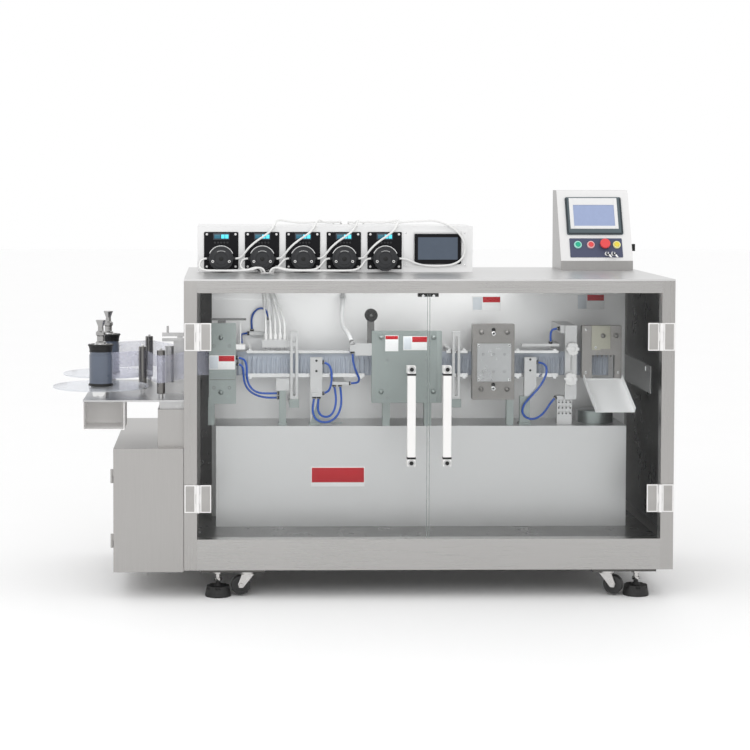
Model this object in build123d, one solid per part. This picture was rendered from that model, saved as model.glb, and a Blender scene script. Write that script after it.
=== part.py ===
from build123d import *
import os
from math import cos, pi, radians, sin, tan

# A plastic-ampoule forming, filling and sealing machine, in millimetres.
# It is modelled from the cabinet's left side, its front plane and the floor,
# and moved at the end so that the origin is the middle of its footprint.

# Cabinet frame
cab_width = 1768.0
cab_depth = 850.0
cab_floor = 104.0  # underside of the base rails
cab_top = 1155.0  # upper face of the top plate
post = 47.0  # side of the square posts
base_rail = 112.0  # height of the rails at the bottom
top_rail = 44.0  # height of the rails under the top plate
tube_wall = 3.0
panel_sheet = 3.0
pan_sheet = 4.0
top_sheet = 6.0

# Drive box and the upright plate that carries the stations
wall_plate = 12.0
wall_front = 470.0  # front face of the upright plate
wall_inset = 96.0  # from the cabinet's side to the plate's end
wall_inset_right = 82.0
cover_front = 247.0
cover_inset_left = 113.0
cover_inset_right = 121.0
cover_top = 593.0

# Levelling feet and casters
foot_inset = 122.0
caster_inset = 229.0
foot_back = 58.0  # from the front and rear planes to the feet and casters
foot_pad = 94.0
foot_pad_height = 38.0
foot_stem = 16.0
plate_thickness = 8.0  # caster plates
wheel_diameter = 70.0
wheel_width = 28.0
wheel_lift = 6.0  # wheels hang clear while the feet carry the machine
caster_trail = 25.0
caster_turns = (185.0, -25.0, 150.0, 40.0)  # where each swivel stands at rest, in degrees
axle = 8.0
running_gap = 0.05  # radial clearance of pins and shafts

# Doors
door_glass = 8.0
door_gap = 3.0  # around each door
hinge_height = 100.0
hinge_leaf = 40.0
hinge_sheet = 6.0
hinge_barrel = 14.0
hinge_pin = 6.0
hinge_middles = (364.0, 948.0)
handle_width = 30.0
handle_depth = 24.0
handle_length = 358.0
handle_middle = 667.0
handle_stand = 30.0  # clear space between the door and the bar
handle_offset = 70.0  # from the cabinet's middle to the bar's middle

# Pump case on top
case_left = 41.0
case_width = 1058.0
case_front = 490.0
case_depth = 300.0
case_sheet = 2.5
pump_count = 5
pump_pitch = 157.0
pump_plate_width = 132.0
pump_plate_height = 143.0
pump_plate_left = 66.0
pump_plate_sheet = 3.0
head_radius = 46.5
head_length = 46.0
head_wall = 6.0
head_height = 1208.0  # axis of the heads above the floor
case_height = head_height - cab_top + 123.0
pump_plate_low = head_height - 42.0
rotor_radius = 30.0
rotor_shaft = 8.0

# Console
console_left = 1464.0
console_width = 283.0
console_front = 620.0
console_base_depth = 200.0
console_head_depth = 80.0
console_height = 312.0
console_lip = 37.0
console_sheet = 3.0


def block(x, y, z):
    middle = [(low + high) / 2 for low, high in (x, y, z)]
    size = [high - low for low, high in (x, y, z)]
    return Pos(*middle) * Box(*size)


def rod(start, end, radius):
    start = Vector(*start)
    end = Vector(*end)
    length = (end - start).length
    base = Plane(start, z_dir=end - start)
    return base * Cylinder(radius, length, align=(Align.CENTER, Align.CENTER, Align.MIN))


def upright(x, y, z, radius):
    return rod((x, y, z[0]), (x, y, z[1]), radius)


def lying(x, y, z, radius):
    return rod((x, y[0], z), (x, y[1], z), radius)


def square_tube(x, y, z, along):
    # A box tube whose ends are open along one axis
    inner = [(low + tube_wall, high - tube_wall) for low, high in (x, y, z)]
    inner[along] = ((x, y, z)[along][0] - 1, (x, y, z)[along][1] + 1)
    return block(x, y, z) - block(*inner)


rail_top = cab_floor + base_rail
frame_top = cab_top - top_sheet
beam_low = frame_top - top_rail
plate_low = cab_floor - plate_thickness
cab_right = cab_width - post
wall_right = cab_width - wall_inset_right
cab_rear = cab_depth - post
corner_xs = (foot_inset, cab_width - foot_inset)
caster_xs = (caster_inset, cab_width - caster_inset)
corner_ys = (foot_back, cab_depth - foot_back)


def cabinet_frame():
    solids = []
    for x in ((0, post), (cab_right, cab_width)):
        for y in ((0, post), (cab_rear, cab_depth)):
            solids.append(square_tube(x, y, (cab_floor, frame_top), 2))
    for z in ((cab_floor, rail_top), (beam_low, frame_top)):
        for y in ((0, post), (cab_rear, cab_depth)):
            solids.append(square_tube((post, cab_right), y, z, 0))
        for x in ((0, post), (cab_right, cab_width)):
            solids.append(square_tube(x, (post, cab_rear), z, 1))
    return solids + caster_plates()


plate_margin = 62.0


def caster_plates():
    solids = []
    low = plate_margin
    for y in corner_ys:
        for left, right in ((corner_xs[0] - low, caster_xs[0] + low), (caster_xs[1] - low, corner_xs[1] + low)):
            depth = (y - foot_back + 2, y + foot_back - 2)
            solids.append(block((left, right), depth, (plate_low, cab_floor)))
    return solids


def levelling_foot(x, y):
    base = upright(x, y, (0, 6), foot_pad / 2)
    pad = Pos(x, y, 6 + (foot_pad_height - 6) / 2) * Cone(foot_pad / 2, foot_pad / 2 - 6, foot_pad_height - 6)
    lobes = 6
    for index in range(lobes):
        angle = 2 * pi * (index + 0.5) / lobes
        reach = foot_pad / 2
        pad -= upright(x + reach * cos(angle), y + reach * sin(angle), (foot_pad_height - 10, foot_pad_height), 11)
    boss = Pos(x, y, foot_pad_height + 4) * Cone(foot_stem, foot_stem / 2 + 3, 8)
    stem = upright(x, y, (foot_pad_height, plate_low), foot_stem / 2)
    foot = base + pad + boss + stem
    for low, size in ((foot_pad_height + 18, foot_stem - 2), (plate_low - 14, foot_stem + 1)):
        foot += Pos(x, y, low) * extrude(RegularPolygon(size, 6), 10)
    return foot


def levelling_feet():
    return [levelling_foot(x, y) for x in corner_xs for y in corner_ys]


wheel_middle = wheel_lift + wheel_diameter / 2
swivel_plate = 5.0
swivel_race = 10.0
cheek_sheet = 3.0
cheek_half = wheel_width / 2 + 1.5  # from the wheel's middle to each cheek's inner face


def caster_fork():
    # Built on the swivel axis, trailing towards +X
    crown = plate_low - swivel_plate - swivel_race
    fork = upright(0, 0, (plate_low - swivel_plate, plate_low - 0.3), 29)
    fork += upright(0, 0, (crown, plate_low - swivel_plate), 24)
    outer = cheek_half + cheek_sheet
    fork += block((-22, 22), (-outer, outer), (crown - cheek_sheet, crown))
    outline = Polyline(
        (-22, crown),
        (22, crown),
        (caster_trail + 11, wheel_middle + 4),
        (caster_trail + 7, wheel_middle - 9),
        (caster_trail - 7, wheel_middle - 9),
        close=True,
    )
    cheek = extrude(Plane.XZ * make_face(outline), cheek_sheet)
    for side_y in (-cheek_half, outer):
        fork += Pos(0, side_y, 0) * cheek
    nut_end = outer + 5
    fork += lying(caster_trail, (-nut_end, -outer), wheel_middle, 8)
    fork += lying(caster_trail, (outer, nut_end), wheel_middle, 8)
    return fork + lying(caster_trail, (-outer, outer), wheel_middle, axle / 2)


def caster_wheel():
    half = wheel_width / 2
    tread = lying(caster_trail, (-half, half), wheel_middle, wheel_diameter / 2)
    tread = fillet(tread.edges().filter_by(GeomType.CIRCLE), 5)
    for low, high in ((-half - 1, -half + 4), (half - 4, half + 1)):
        tread -= lying(caster_trail, (low, high), wheel_middle, 25)
    hub = lying(caster_trail, (-half - 1, half + 1), wheel_middle, 10)
    bore = lying(caster_trail, (-half - 2, half + 2), wheel_middle, axle / 2 + running_gap)
    return tread + hub - bore


def casters():
    spots = [(x, y) for y in corner_ys for x in caster_xs]
    fork = caster_fork()
    wheel = caster_wheel()
    nodes = {}
    for index, (spot, turn) in enumerate(zip(spots, caster_turns), 1):
        place = Pos(*spot, 0) * Rot(0, 0, turn)
        nodes[f"caster_fork_{index}"] = [place * fork]
        nodes[f"caster_wheel_{index}"] = [place * wheel]
    return nodes


def top_plate():
    plate = block((0, cab_width), (0, cab_depth), (frame_top, cab_top))
    plate -= upright(grommet_x, grommet_y, (frame_top - 1, cab_top + 1), grommet_radius)
    collar = upright(grommet_x, grommet_y, (cab_top, cab_top + 3), grommet_radius + 5)
    liner = upright(grommet_x, grommet_y, (frame_top - 2, cab_top), grommet_radius)
    hole = upright(grommet_x, grommet_y, (frame_top - 3, cab_top + 4), grommet_radius - 3)
    return [plate, collar + liner - hole]


grommet_x = 308.0
grommet_y = 440.0
grommet_radius = 30.0
slot_front = 150.0  # opening in the left side for the film
slot_back = 450.0
slot_low = 725.0
slot_high = 905.0
louvres = 9


def cabinet_panels():
    inside = (post, cab_right)
    sides = (post, cab_rear)
    opening = (rail_top, beam_low)
    pan = block(inside, sides, (rail_top - pan_sheet, rail_top))
    rear = block(inside, (cab_depth - panel_sheet, cab_depth), opening)
    for middle in (cab_width * 0.25, cab_width * 0.75):
        for index in range(louvres):
            low = rail_top + 90 + index * 22
            rear -= block((middle - 110, middle + 110), (cab_rear, cab_depth + 1), (low, low + 7))
    left = block((0, panel_sheet), sides, opening)
    left -= block((-1, post), (slot_front, slot_back), (slot_low, slot_high))
    right = block((cab_width - panel_sheet, cab_width), sides, opening)
    return [pan, rear, left, right]


def mounting_plate():
    return [drilled(block((wall_inset, wall_right), (wall_front, wall_front + wall_plate), (rail_top, frame_top)))]


cover_right = cab_width - cover_inset_right


def base_cover():
    ends = (cover_inset_left, cover_right)
    skin = panel_sheet
    front = block(ends, (cover_front, cover_front + skin), (rail_top, cover_top))
    lid = block(ends, (cover_front + skin, wall_front), (cover_top - skin, cover_top))
    cheeks = []
    for x in ((ends[0], ends[0] + skin), (ends[1] - skin, ends[1])):
        cheeks.append(block(x, (cover_front + skin, wall_front), (rail_top, cover_top - skin)))
    return [front, lid] + cheeks


door_middle = 879.0
hinge_x = post + door_gap
hinge_y = -hinge_barrel / 2 - 0.5
knuckle_gap = 0.5
knuckle = hinge_height / 3
leaf_near = hinge_barrel / 2 + 1
leaf_far = leaf_near + hinge_leaf
door_low = rail_top + door_gap
door_high = beam_low - door_gap
catch_width = 36.0
catch_height = 14.0
keeper = 4.0
catch_offset = 19.0


def knuckle_barrel(x, low, high):
    return upright(x, hinge_y, (low, high), hinge_barrel / 2)


def fixed_leaf(x, outward, middle):
    # The leaf on the post, with the two outer knuckles and the pin
    low = middle - hinge_height / 2
    high = middle + hinge_height / 2
    near = x + outward * leaf_near
    far = x + outward * leaf_far
    leaf = block((min(near, far), max(near, far)), (-hinge_sheet, 0), (low, high))
    for start, end in ((low, low + knuckle), (high - knuckle, high)):
        web = block((min(x, near), max(x, near)), (-hinge_sheet, -1), (start, end))
        leaf += web + knuckle_barrel(x, start, end)
    return leaf + upright(x, hinge_y, (low, high), hinge_pin / 2)


def door_leaf(x, inward, middle):
    low = middle - hinge_height / 2
    high = middle + hinge_height / 2
    near = x + inward * leaf_near
    far = x + inward * leaf_far
    leaf = block((min(near, far), max(near, far)), (-hinge_sheet, 0), (low, high))
    start = low + knuckle + knuckle_gap
    end = high - knuckle - knuckle_gap
    web = block((min(x, near), max(x, near)), (-hinge_sheet, -1), (start, end))
    leaf += web + knuckle_barrel(x, start, end)
    return leaf - upright(x, hinge_y, (low - 1, high + 1), hinge_pin / 2 + running_gap)


def door_hardware():
    solids = []
    for middle in hinge_middles:
        solids.append(fixed_leaf(hinge_x, -1, middle))
        solids.append(fixed_leaf(cab_width - hinge_x, 1, middle))
    for side in (-1, 1):
        x = door_middle + side * catch_offset
        near = door_glass + keeper + 0.3
        width = (x - catch_width / 2, x + catch_width / 2)
        solids.append(block(width, (near, near + 20), (beam_low - catch_height, beam_low)))
    return solids


def door_pane(left, right):
    pane = block((left, right), (0, door_glass), (door_low, door_high))
    return [fillet(pane.edges().filter_by(Axis.Z), 1)]


def door_fittings(hinge_line, inward, handle_x, catch_x):
    solids = [door_leaf(hinge_line, inward, middle) for middle in hinge_middles]
    half = handle_width / 2
    low = handle_middle - handle_length / 2
    high = handle_middle + handle_length / 2
    reach = handle_stand + handle_depth
    bar = block((handle_x - half, handle_x + half), (-reach, -handle_stand), (low + 26, high - 26))
    solids.append(fillet(bar.edges().filter_by(Axis.Z), 4))
    for start, end in ((low, low + 26), (high - 26, high)):
        foot = block((handle_x - half, handle_x + half), (-reach, 0), (start, end))
        solids.append(fillet(foot.edges().filter_by(Axis.Z), 4))
    keeper_z = beam_low - catch_height / 2 - door_gap / 2 - 2
    solids.append(lying(catch_x, (door_glass, door_glass + keeper), keeper_z, 5))
    return solids


def doors():
    left_edge = door_middle - door_gap
    right_edge = door_middle + door_gap
    right_hinge = cab_width - hinge_x
    left_handle = door_middle - handle_offset + 5
    right_handle = door_middle + handle_offset - 7
    return {
        "left_door_glass": door_pane(hinge_x, left_edge),
        "left_door_fittings": door_fittings(hinge_x, 1, left_handle, door_middle - catch_offset),
        "right_door_glass": door_pane(right_edge, right_hinge),
        "right_door_fittings": door_fittings(right_hinge, -1, right_handle, door_middle + catch_offset),
    }


pump_middles = [pump_plate_left + pump_plate_width / 2 + index * pump_pitch for index in range(pump_count)]
motor_side = 57.0
motor_length = 76.0
head_front = case_front - pump_plate_sheet - head_length
head_lid = 4.0
port_reach = 8.0
port_radius = 7.0
tube_size = 8.0  # outer diameter of the pump tubes and the air tubes
port_y = head_front + head_length / 2
port_x = head_radius + port_reach
manifold_x = 640.0  # suction manifold behind the pump case
manifold_pitch = 30.0


def pump_case():
    right = case_left + case_width
    back = case_front + case_depth
    high = cab_top + case_height
    skin = case_sheet
    x = (case_left, right)
    side_z = (cab_top + skin, high - skin)
    front = block(x, (case_front, case_front + skin), side_z)
    for middle in pump_middles:
        half = motor_side / 2 + 1
        front -= block((middle - half, middle + half), (case_front - 1, back), (head_height - half, head_height + half))
    solids = [front]
    solids.append(block(x, (back - skin, back), side_z))
    inner_y = (case_front + skin, back - skin)
    solids.append(block((case_left, case_left + skin), inner_y, side_z))
    solids.append(block((right - skin, right), inner_y, side_z))
    solids.append(block(x, (case_front, back), (cab_top, cab_top + skin)))
    solids.append(block(x, (case_front, back), (high - skin, high)))
    solids.append(suction_manifold(back))
    return solids


def suction_manifold(back):
    half = manifold_pitch * pump_count / 2
    low = cab_top + case_height - 70
    bar = block((manifold_x - half, manifold_x + half), (back, back + 30), (low, low + 30))
    for x in manifold_spots():
        bar += upright(x, back + 15, (low + 30, low + 36), port_radius)
    return bar


def manifold_spots():
    return [manifold_x + (index - 2) * manifold_pitch for index in range(pump_count)]


def pump_drives():
    # Each drive is a black face plate with its gear motor behind it
    solids = []
    back = case_front - pump_plate_sheet
    for middle in pump_middles:
        x = (middle - pump_plate_width / 2, middle + pump_plate_width / 2)
        z = (pump_plate_low, pump_plate_low + pump_plate_height)
        plate = block(x, (back, case_front), z)
        plate = fillet(plate.edges().filter_by(Axis.Y), 4)
        plate -= lying(middle, (back - 1, case_front + 1), head_height, rotor_shaft / 2 + running_gap)
        half = motor_side / 2
        motor_z = (head_height - half, head_height + half)
        motor = block((middle - half, middle + half), (case_front, case_front + motor_length), motor_z)
        solids += [plate, motor]
    return solids


def pump_heads():
    solids = []
    back = case_front - pump_plate_sheet
    for middle in pump_middles:
        body = lying(middle, (head_front, back), head_height, head_radius)
        body = fillet(body.edges().filter_by(GeomType.CIRCLE).sort_by(Axis.Y)[0], 4)
        for side in (-1, 1):
            body += rod((middle, port_y, head_height), (middle + side * port_x, port_y, head_height), port_radius)
        cavity = lying(middle, (head_front + head_lid, back + 1), head_height, head_radius - head_wall)
        seat = lying(middle, (head_front + 2, back), head_height, rotor_shaft / 2 + running_gap)
        body -= cavity
        body -= seat
        lever = lying(middle, (head_front + 8, back), head_height + 1, head_radius + 3)
        lever -= lying(middle, (head_front, back + 1), head_height + 1, head_radius + 0.2)
        lever &= block((middle - 46, middle + 46), (head_front, back), (head_height + 20, head_height + 60))
        solids += [body + lever]
    return solids


def pump_rotor(middle):
    near = head_front + head_lid + 2
    far = case_front - pump_plate_sheet - 2
    shaft = lying(middle, (head_front + 2.3, case_front - 0.3), head_height, rotor_shaft / 2)
    rotor = shaft + lying(middle, (near, far), head_height, 11)
    for low, high in ((near, near + 3), (far - 3, far)):
        rotor += lying(middle, (low, high), head_height, rotor_radius - 4)
    for index in range(3):
        angle = pi / 2 + 2 * pi * index / 3
        x = middle + (rotor_radius - 8) * cos(angle)
        z = head_height + (rotor_radius - 8) * sin(angle)
        rotor += lying(x, (near + 3, far - 3), z, 8)
    return rotor


touch_left = 875.0
touch_width = 179.0
touch_low = head_height - 22.0
touch_height = 116.0
touch_depth = 7.0
touch_border = 13.0


def pump_touch_panel():
    y = (case_front - touch_depth, case_front)
    bezel = block((touch_left, touch_left + touch_width), y, (touch_low, touch_low + touch_height))
    bezel = fillet(bezel.edges().filter_by(Axis.Y), 4)
    x = (touch_left + touch_border, touch_left + touch_width - touch_border)
    z = (touch_low + touch_border + 4, touch_low + touch_height - touch_border)
    window = block(x, (y[0], y[0] + 2), z)
    return [bezel - window, block(x, (y[0] + 1, y[0] + 2), z)]


console_slope = console_base_depth - console_head_depth
console_rise = console_height - console_lip
lean = (console_slope**2 + console_rise**2) ** 0.5
console_normal = (0, -console_rise / lean, console_slope / lean)
console_face = Plane((console_left, console_front, cab_top + console_lip), x_dir=(1, 0, 0), z_dir=console_normal)
screen_width = 222.0
screen_height = 159.0
screen_low = 109.0
button_plate_width = 207.0
button_plate_height = 80.0
button_plate_low = 14.0
button_row = 66.0  # up the slope from the lip to the buttons
button_spots = {"start_button": 70.0, "halt_button": 121.0, "stop_button": 175.0, "reset_button": 223.0}
key_row = 27.0
key_spots = (181.0, 206.0)
cap_radius = 10.0
stop_radius = 20.0
switch_y = 700.0
switch_z = 1241.0


def console_prism(inset):
    back = console_front + console_base_depth
    high = cab_top + console_height
    outline = Polyline(
        (console_front + inset, cab_top),
        (console_front + inset, cab_top + console_lip - inset * 0.2),
        (console_front + console_slope + inset * 0.8, high - inset),
        (back - inset, high - inset),
        (back - inset, cab_top),
        close=True,
    )
    return Plane.YZ * make_face(outline)


def console_case():
    outer = extrude(console_prism(0), console_width)
    inner = Pos(console_sheet, 0, 0) * extrude(console_prism(console_sheet), console_width - 2 * console_sheet)
    shell = Pos(console_left, 0, 0) * (outer - inner)
    for spot in button_spots.values():
        shell -= console_face * Pos(spot, button_row, -6) * Cylinder(cap_radius + 1, 20)
    right = console_left + console_width
    shell += rod((right, switch_y, switch_z), (right + 5, switch_y, switch_z), 16)
    hole = rod((right - 8, switch_y, switch_z), (right + 6, switch_y, switch_z), 4 + running_gap)
    return [shell - hole]


def main_switch():
    right = console_left + console_width
    knob = rod((right + 5.3, switch_y, switch_z), (right + 12, switch_y, switch_z), 14)
    knob += block((right + 12, right + 24), (switch_y - 4, switch_y + 4), (switch_z - 14, switch_z + 14))
    return [knob + rod((right - 6, switch_y, switch_z), (right + 6, switch_y, switch_z), 4)]


def console_screen():
    middle = console_width / 2
    bezel = Box(screen_width, screen_height, 6, align=(Align.CENTER, Align.MIN, Align.MIN))
    bezel = fillet(bezel.edges().filter_by(Axis.Z), 6)
    window = Pos(0, 36, 4) * Box(163, 90, 4, align=(Align.CENTER, Align.MIN, Align.MIN))
    return [console_face * Pos(middle, screen_low, 0) * (bezel - window)]


def button_plate():
    middle = console_width / 2
    plate = Box(button_plate_width, button_plate_height, 2, align=(Align.CENTER, Align.MIN, Align.MIN))
    plate = Pos(middle, button_plate_low, 0) * fillet(plate.edges().filter_by(Axis.Z), 3)
    for spot in button_spots.values():
        plate += Pos(spot, button_row, 4.5) * Cylinder(cap_radius + 4, 5)
    for spot in button_spots.values():
        plate -= Pos(spot, button_row, 4) * Cylinder(cap_radius + running_gap, 20)
    for spot in key_spots:
        plate += Pos(spot, key_row, 5) * Cylinder(8, 6)
        plate += Pos(spot, key_row, 11) * Box(3, 14, 10)
    return [console_face * plate]


def push_button(spot):
    cap = Pos(spot, button_row, 2) * Cylinder(cap_radius, 16)
    return [console_face * fillet(cap.edges().filter_by(GeomType.CIRCLE).sort_by(Axis.Z)[-1], 1.5)]


def stop_button(spot):
    stem = Pos(spot, button_row, 4) * Cylinder(cap_radius, 20)
    head = Pos(spot, button_row, 19) * Cylinder(stop_radius, 10)
    head = fillet(head.edges().filter_by(GeomType.CIRCLE).sort_by(Axis.Z)[-1], 4)
    return [console_face * (stem + head)]


def buttons():
    nodes = {name: push_button(spot) for name, spot in button_spots.items() if name != "stop_button"}
    nodes["stop_button"] = stop_button(button_spots["stop_button"])
    return nodes


# Side cabinet and the unwinder
side_width = 254.0
side_low = 98.0
side_high = 545.0
side_door_sheet = 18.0
side_sheet = 2.5
side_barrel = 10.0
side_hinges = (212.0, 446.0)
side_barrel_height = 50.0
riser_width = 95.0
riser_top = 682.0
riser_front = 36.0
riser_back = 400.0
table_top = 718.0
table_sheet = 6.0
table_left = -364.0
table_front = 20.0
table_back = 700.0
tray_low = 611.0
tray_right = -215.0
tray_depth = 180.0
reel_x = -305.0
reel_ys = (110.0, 550.0)
disc_radius = 174.0
disc_sheet = 5.0
disc_low = 757.0
core_radius = 40.0
film_low = 775.0
film_high = 875.0
film_wrap = 2.0  # film wound on the core
film_sheet = 0.6
flange_low = 886.0
flange_high = 912.0
knob_top = 1001.0
spindle = 8.0
roller_radius = 15.0
roller_low = 735.0
roller_high = 893.0
roller_spots = ((-158.0, 234.0), (-85.0, 80.0), (-152.0, 668.0))
roller_pin = 5.0


def side_cabinet():
    left = -side_width
    skin = side_sheet
    y = (side_door_sheet + 2, cab_depth)
    z = (side_low + skin, side_high - skin)
    solids = [
        block((left, 0), y, (side_low, side_low + skin)),
        block((left, 0), y, (side_high - skin, side_high)),
        block((left, left + skin), y, z),
        block((-skin, 0), y, z),
        block((left + skin, -skin), (cab_depth - skin, cab_depth), z),
    ]
    riser = block((-riser_width, 0), (riser_front, riser_back), (side_high, riser_top))
    inner_y = (riser_front + skin, riser_back - skin)
    riser -= block((-riser_width + skin, -skin), inner_y, (side_high - 1, riser_top - skin))
    solids.append(riser)
    for middle in side_hinges:
        start = middle - side_barrel_height / 2
        solids.append(side_knuckle(start, side_barrel_height / 2 - knuckle_gap))
    return solids


side_hinge_x = -side_width - side_barrel / 2 - 0.5
side_hinge_y = side_barrel / 2


def side_knuckle(low, height):
    # The body's half of a lift-off hinge, with its pin
    z = (low, low + height)
    barrel = upright(side_hinge_x, side_hinge_y, z, side_barrel / 2)
    near = side_door_sheet + 2
    arm = block((side_hinge_x - 2, -side_width - 0.3), (side_hinge_y, near), z)
    foot = block((side_hinge_x - 2, -side_width), (near, near + 22), z)
    pin = upright(side_hinge_x, side_hinge_y, (low, low + side_barrel_height), 2.5)
    return barrel + arm + foot + pin


def side_cabinet_door():
    skin = side_sheet
    z = (side_low, side_high)
    door = block((-side_width, -2), (0, side_door_sheet), z)
    door -= block((-side_width + skin, -2 - skin), (skin, side_door_sheet + 1), (z[0] + skin, z[1] - skin))
    for middle in side_hinges:
        half = (middle + knuckle_gap, middle + side_barrel_height / 2)
        door += upright(side_hinge_x, side_hinge_y, half, side_barrel / 2)
        door += block((side_hinge_x, -side_width + 1), (side_hinge_y - 3, side_hinge_y + 3), half)
        span = (middle - side_barrel_height, middle + side_barrel_height)
        door -= upright(side_hinge_x, side_hinge_y, span, 2.5 + running_gap)
    return [door]


def unwinder_table():
    low = table_top - table_sheet
    top = block((table_left, 0), (table_front, table_back), (low, table_top))
    solids = [top]
    wall = side_sheet
    back = table_front + tray_depth
    tray = [
        block((table_left, table_left + wall), (table_front, back), (tray_low, low)),
        block((tray_right - wall, tray_right), (table_front, back), (tray_low, low)),
        block((table_left + wall, tray_right - wall), (back - wall, back), (tray_low, low)),
        block((table_left + wall, tray_right - wall), (table_front, back - wall), (tray_low, tray_low + wall)),
    ]
    solids += tray
    for y in (riser_front + 30, riser_back - 30):
        solids.append(block((-riser_width + 5, 0), (y - 10, y + 10), (riser_top, low)))
    for y in reel_ys:
        hub = upright(reel_x, y, (table_top, disc_low - 4), 30)
        solids.append(hub + upright(reel_x, y, (table_top, flange_high + 20), spindle))
    for x, y in roller_spots:
        collar = upright(x, y, (table_top, roller_low - 0.3), 9)
        solids.append(collar + upright(x, y, (table_top, roller_high + 6), roller_pin))
    return solids + film_guide()


def film_guide():
    foot = block((-76, -4), (236, 330), (table_top, table_top + 40))
    housing = block((-44, -4), (240, 292), (table_top + 40, 911))
    bars = [block((-86, -4), (232, 250), z) for z in ((911, 922), (930, 943))]
    spacer = block((-30, -10), (234, 248), (922, 930))
    screw = upright(-66, 241, (943, 968), 4)
    nip = upright(-60, 262, (table_top + 40, 892), 16)
    return [foot + housing + bars[0] + bars[1] + spacer + screw, nip]


def reel(y):
    disc = upright(reel_x, y, (disc_low, disc_low + disc_sheet), disc_radius)
    disc -= upright(reel_x, y, (disc_low - 1, disc_low + 9), 24)
    hub = upright(reel_x, y, (disc_low - 3.7, disc_low), 36)
    hub += upright(reel_x, y, (disc_low, disc_low + disc_sheet), 24)
    hub += upright(reel_x, y, (disc_low + disc_sheet, film_low), core_radius + 2)
    hub += upright(reel_x, y, (film_low, flange_low), core_radius)
    flange = Pos(reel_x, y, (flange_low + flange_high) / 2) * Cone(core_radius, core_radius + 5, flange_high - flange_low)
    bore = upright(reel_x, y, (disc_low - 9, flange_high + 20.3), spindle + running_gap)
    cavity = upright(reel_x, y, (film_low + 6, flange_low - 6), core_radius - 4)
    core = hub + flange + reel_knob(y) - bore - cavity
    film = upright(reel_x, y, (film_low, film_high), core_radius + film_wrap)
    film -= upright(reel_x, y, (film_low - 1, film_high + 1), core_radius)
    return [disc, core, film]


def reel_knob(y):
    # A waisted chrome knob that flares at its top
    z = flange_high
    outline = Polyline(
        (0, z),
        (19, z),
        (19, z + 8),
        (14, z + 12),
        (14, z + 30),
        (18, z + 34),
        (18, z + 44),
        (11, z + 50),
        (10, knob_top - 24),
        (18, knob_top - 3),
        (18, knob_top),
        (0, knob_top),
        close=True,
    )
    profile = Plane.XZ * make_face(outline)
    return Pos(reel_x, y, 0) * revolve(profile, Axis.Z)


def guide_roller(x, y):
    body = upright(x, y, (roller_low, roller_high), roller_radius)
    body = chamfer(body.edges().filter_by(GeomType.CIRCLE), 1.5)
    return [body - upright(x, y, (roller_low - 1, roller_high + 1), roller_pin + running_gap)]


# Film strip and its rails
strip_y = 330.0
strip_low = 774.0
strip_high = 864.0
strip_start = 190.0
strip_pitch = 18.0
strip_count = 78
ampoule_radius = 6.5
neck_radius = 3.2
band_sheet = 0.8


def film_web(points):
    line = Polyline(*points)
    ribbon = make_face(offset(line, film_sheet / 2))
    return Pos(0, 0, film_low) * extrude(ribbon, film_high - film_low)


def around(spot, radius, angles):
    x, y = spot
    return [(x + radius * cos(radians(angle)), y + radius * sin(radians(angle))) for angle in angles]


def film_webs():
    near = core_radius + film_wrap + 0.6
    wrap = roller_radius + 2.3
    first, second, third = roller_spots
    front = around((reel_x, reel_ys[0]), near, (122,))
    front += around(first, wrap, (122, 86, 50, 15))
    front += around(second, wrap, (195, 240, 288, 335))
    front += [(48, strip_y - 6), (strip_start - 2, strip_y - 1)]
    rear = around((reel_x, reel_ys[1]), near, (120,))
    rear += around(third, wrap, (120, 90, 60, 29))
    rear += [(48, strip_y + 6), (strip_start - 2, strip_y + 1)]
    return [film_web(front), film_web(rear)]


def ampoule(x):
    shoulder = strip_low + 62
    body = upright(x, strip_y, (strip_low + 4, shoulder), ampoule_radius)
    neck = upright(x, strip_y, (shoulder, shoulder + 10), neck_radius)
    tab = block((x - 5, x + 5), (strip_y - 1.5, strip_y + 1.5), (shoulder + 8, strip_high))
    return [body, neck, tab]


def ampoule_strip():
    end = strip_start + strip_pitch * strip_count
    half = band_sheet / 2
    band = block((strip_start, end), (strip_y - half, strip_y + half), (strip_low, strip_high))
    pieces = []
    for index in range(strip_count):
        pieces += ampoule(strip_start + strip_pitch * (index + 0.5))
    strip = band.fuse(*pieces)
    return film_webs() + strip.solids()


strip_gap = 0.3  # between the ampoules and the rails
rail_gap = ampoule_radius + strip_gap  # from the strip's middle to each rail
rail_width = 4.0
rail_spans = ((228.0, 672.0), (980.0, 1062.0), (1236.0, 1404.0))
rail_levels = ((858.0, 868.0), (768.0, 782.0))
rail_arm = 12.0


def strip_rails():
    # Front and rear guide bars above and below, hung from arms on the upright plate
    solids = []
    near = strip_y - rail_gap
    far = strip_y + rail_gap
    for left, right in rail_spans:
        for index, (low, high) in enumerate(rail_levels):
            front = block((left, right), (near - rail_width, near), (low, high))
            rear = block((left, right), (far, far + rail_width), (low, high))
            over = (high, high + 6) if index == 0 else (low - 6, low)
            rails = front + rear
            for x in (left + 8, right - rail_arm - 8):
                if nozzle_clear(x):
                    rails += block((x, x + rail_arm), (near - rail_width, wall_front), over)
            solids.append(rails)
    return solids


def nozzle_clear(x):
    return not nozzle_left - rail_arm < x < nozzle_left + nozzle_block_width


nozzle_left = 286.0
nozzle_block_width = 100.0
nozzle_block_low = 880.0
nozzle_block_high = 910.0
nozzle_count = 5
nozzle_socket = 22.0
post_xs = ((391.0, 421.0), (999.0, 1029.0))
post_y = (290.0, 302.0)
post_z = (658.0, 942.0)
post_slot = 10.0


def nozzle_xs():
    middle = nozzle_left + nozzle_block_width / 2
    return [middle + (index - 2) * strip_pitch for index in range(nozzle_count)]


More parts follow.
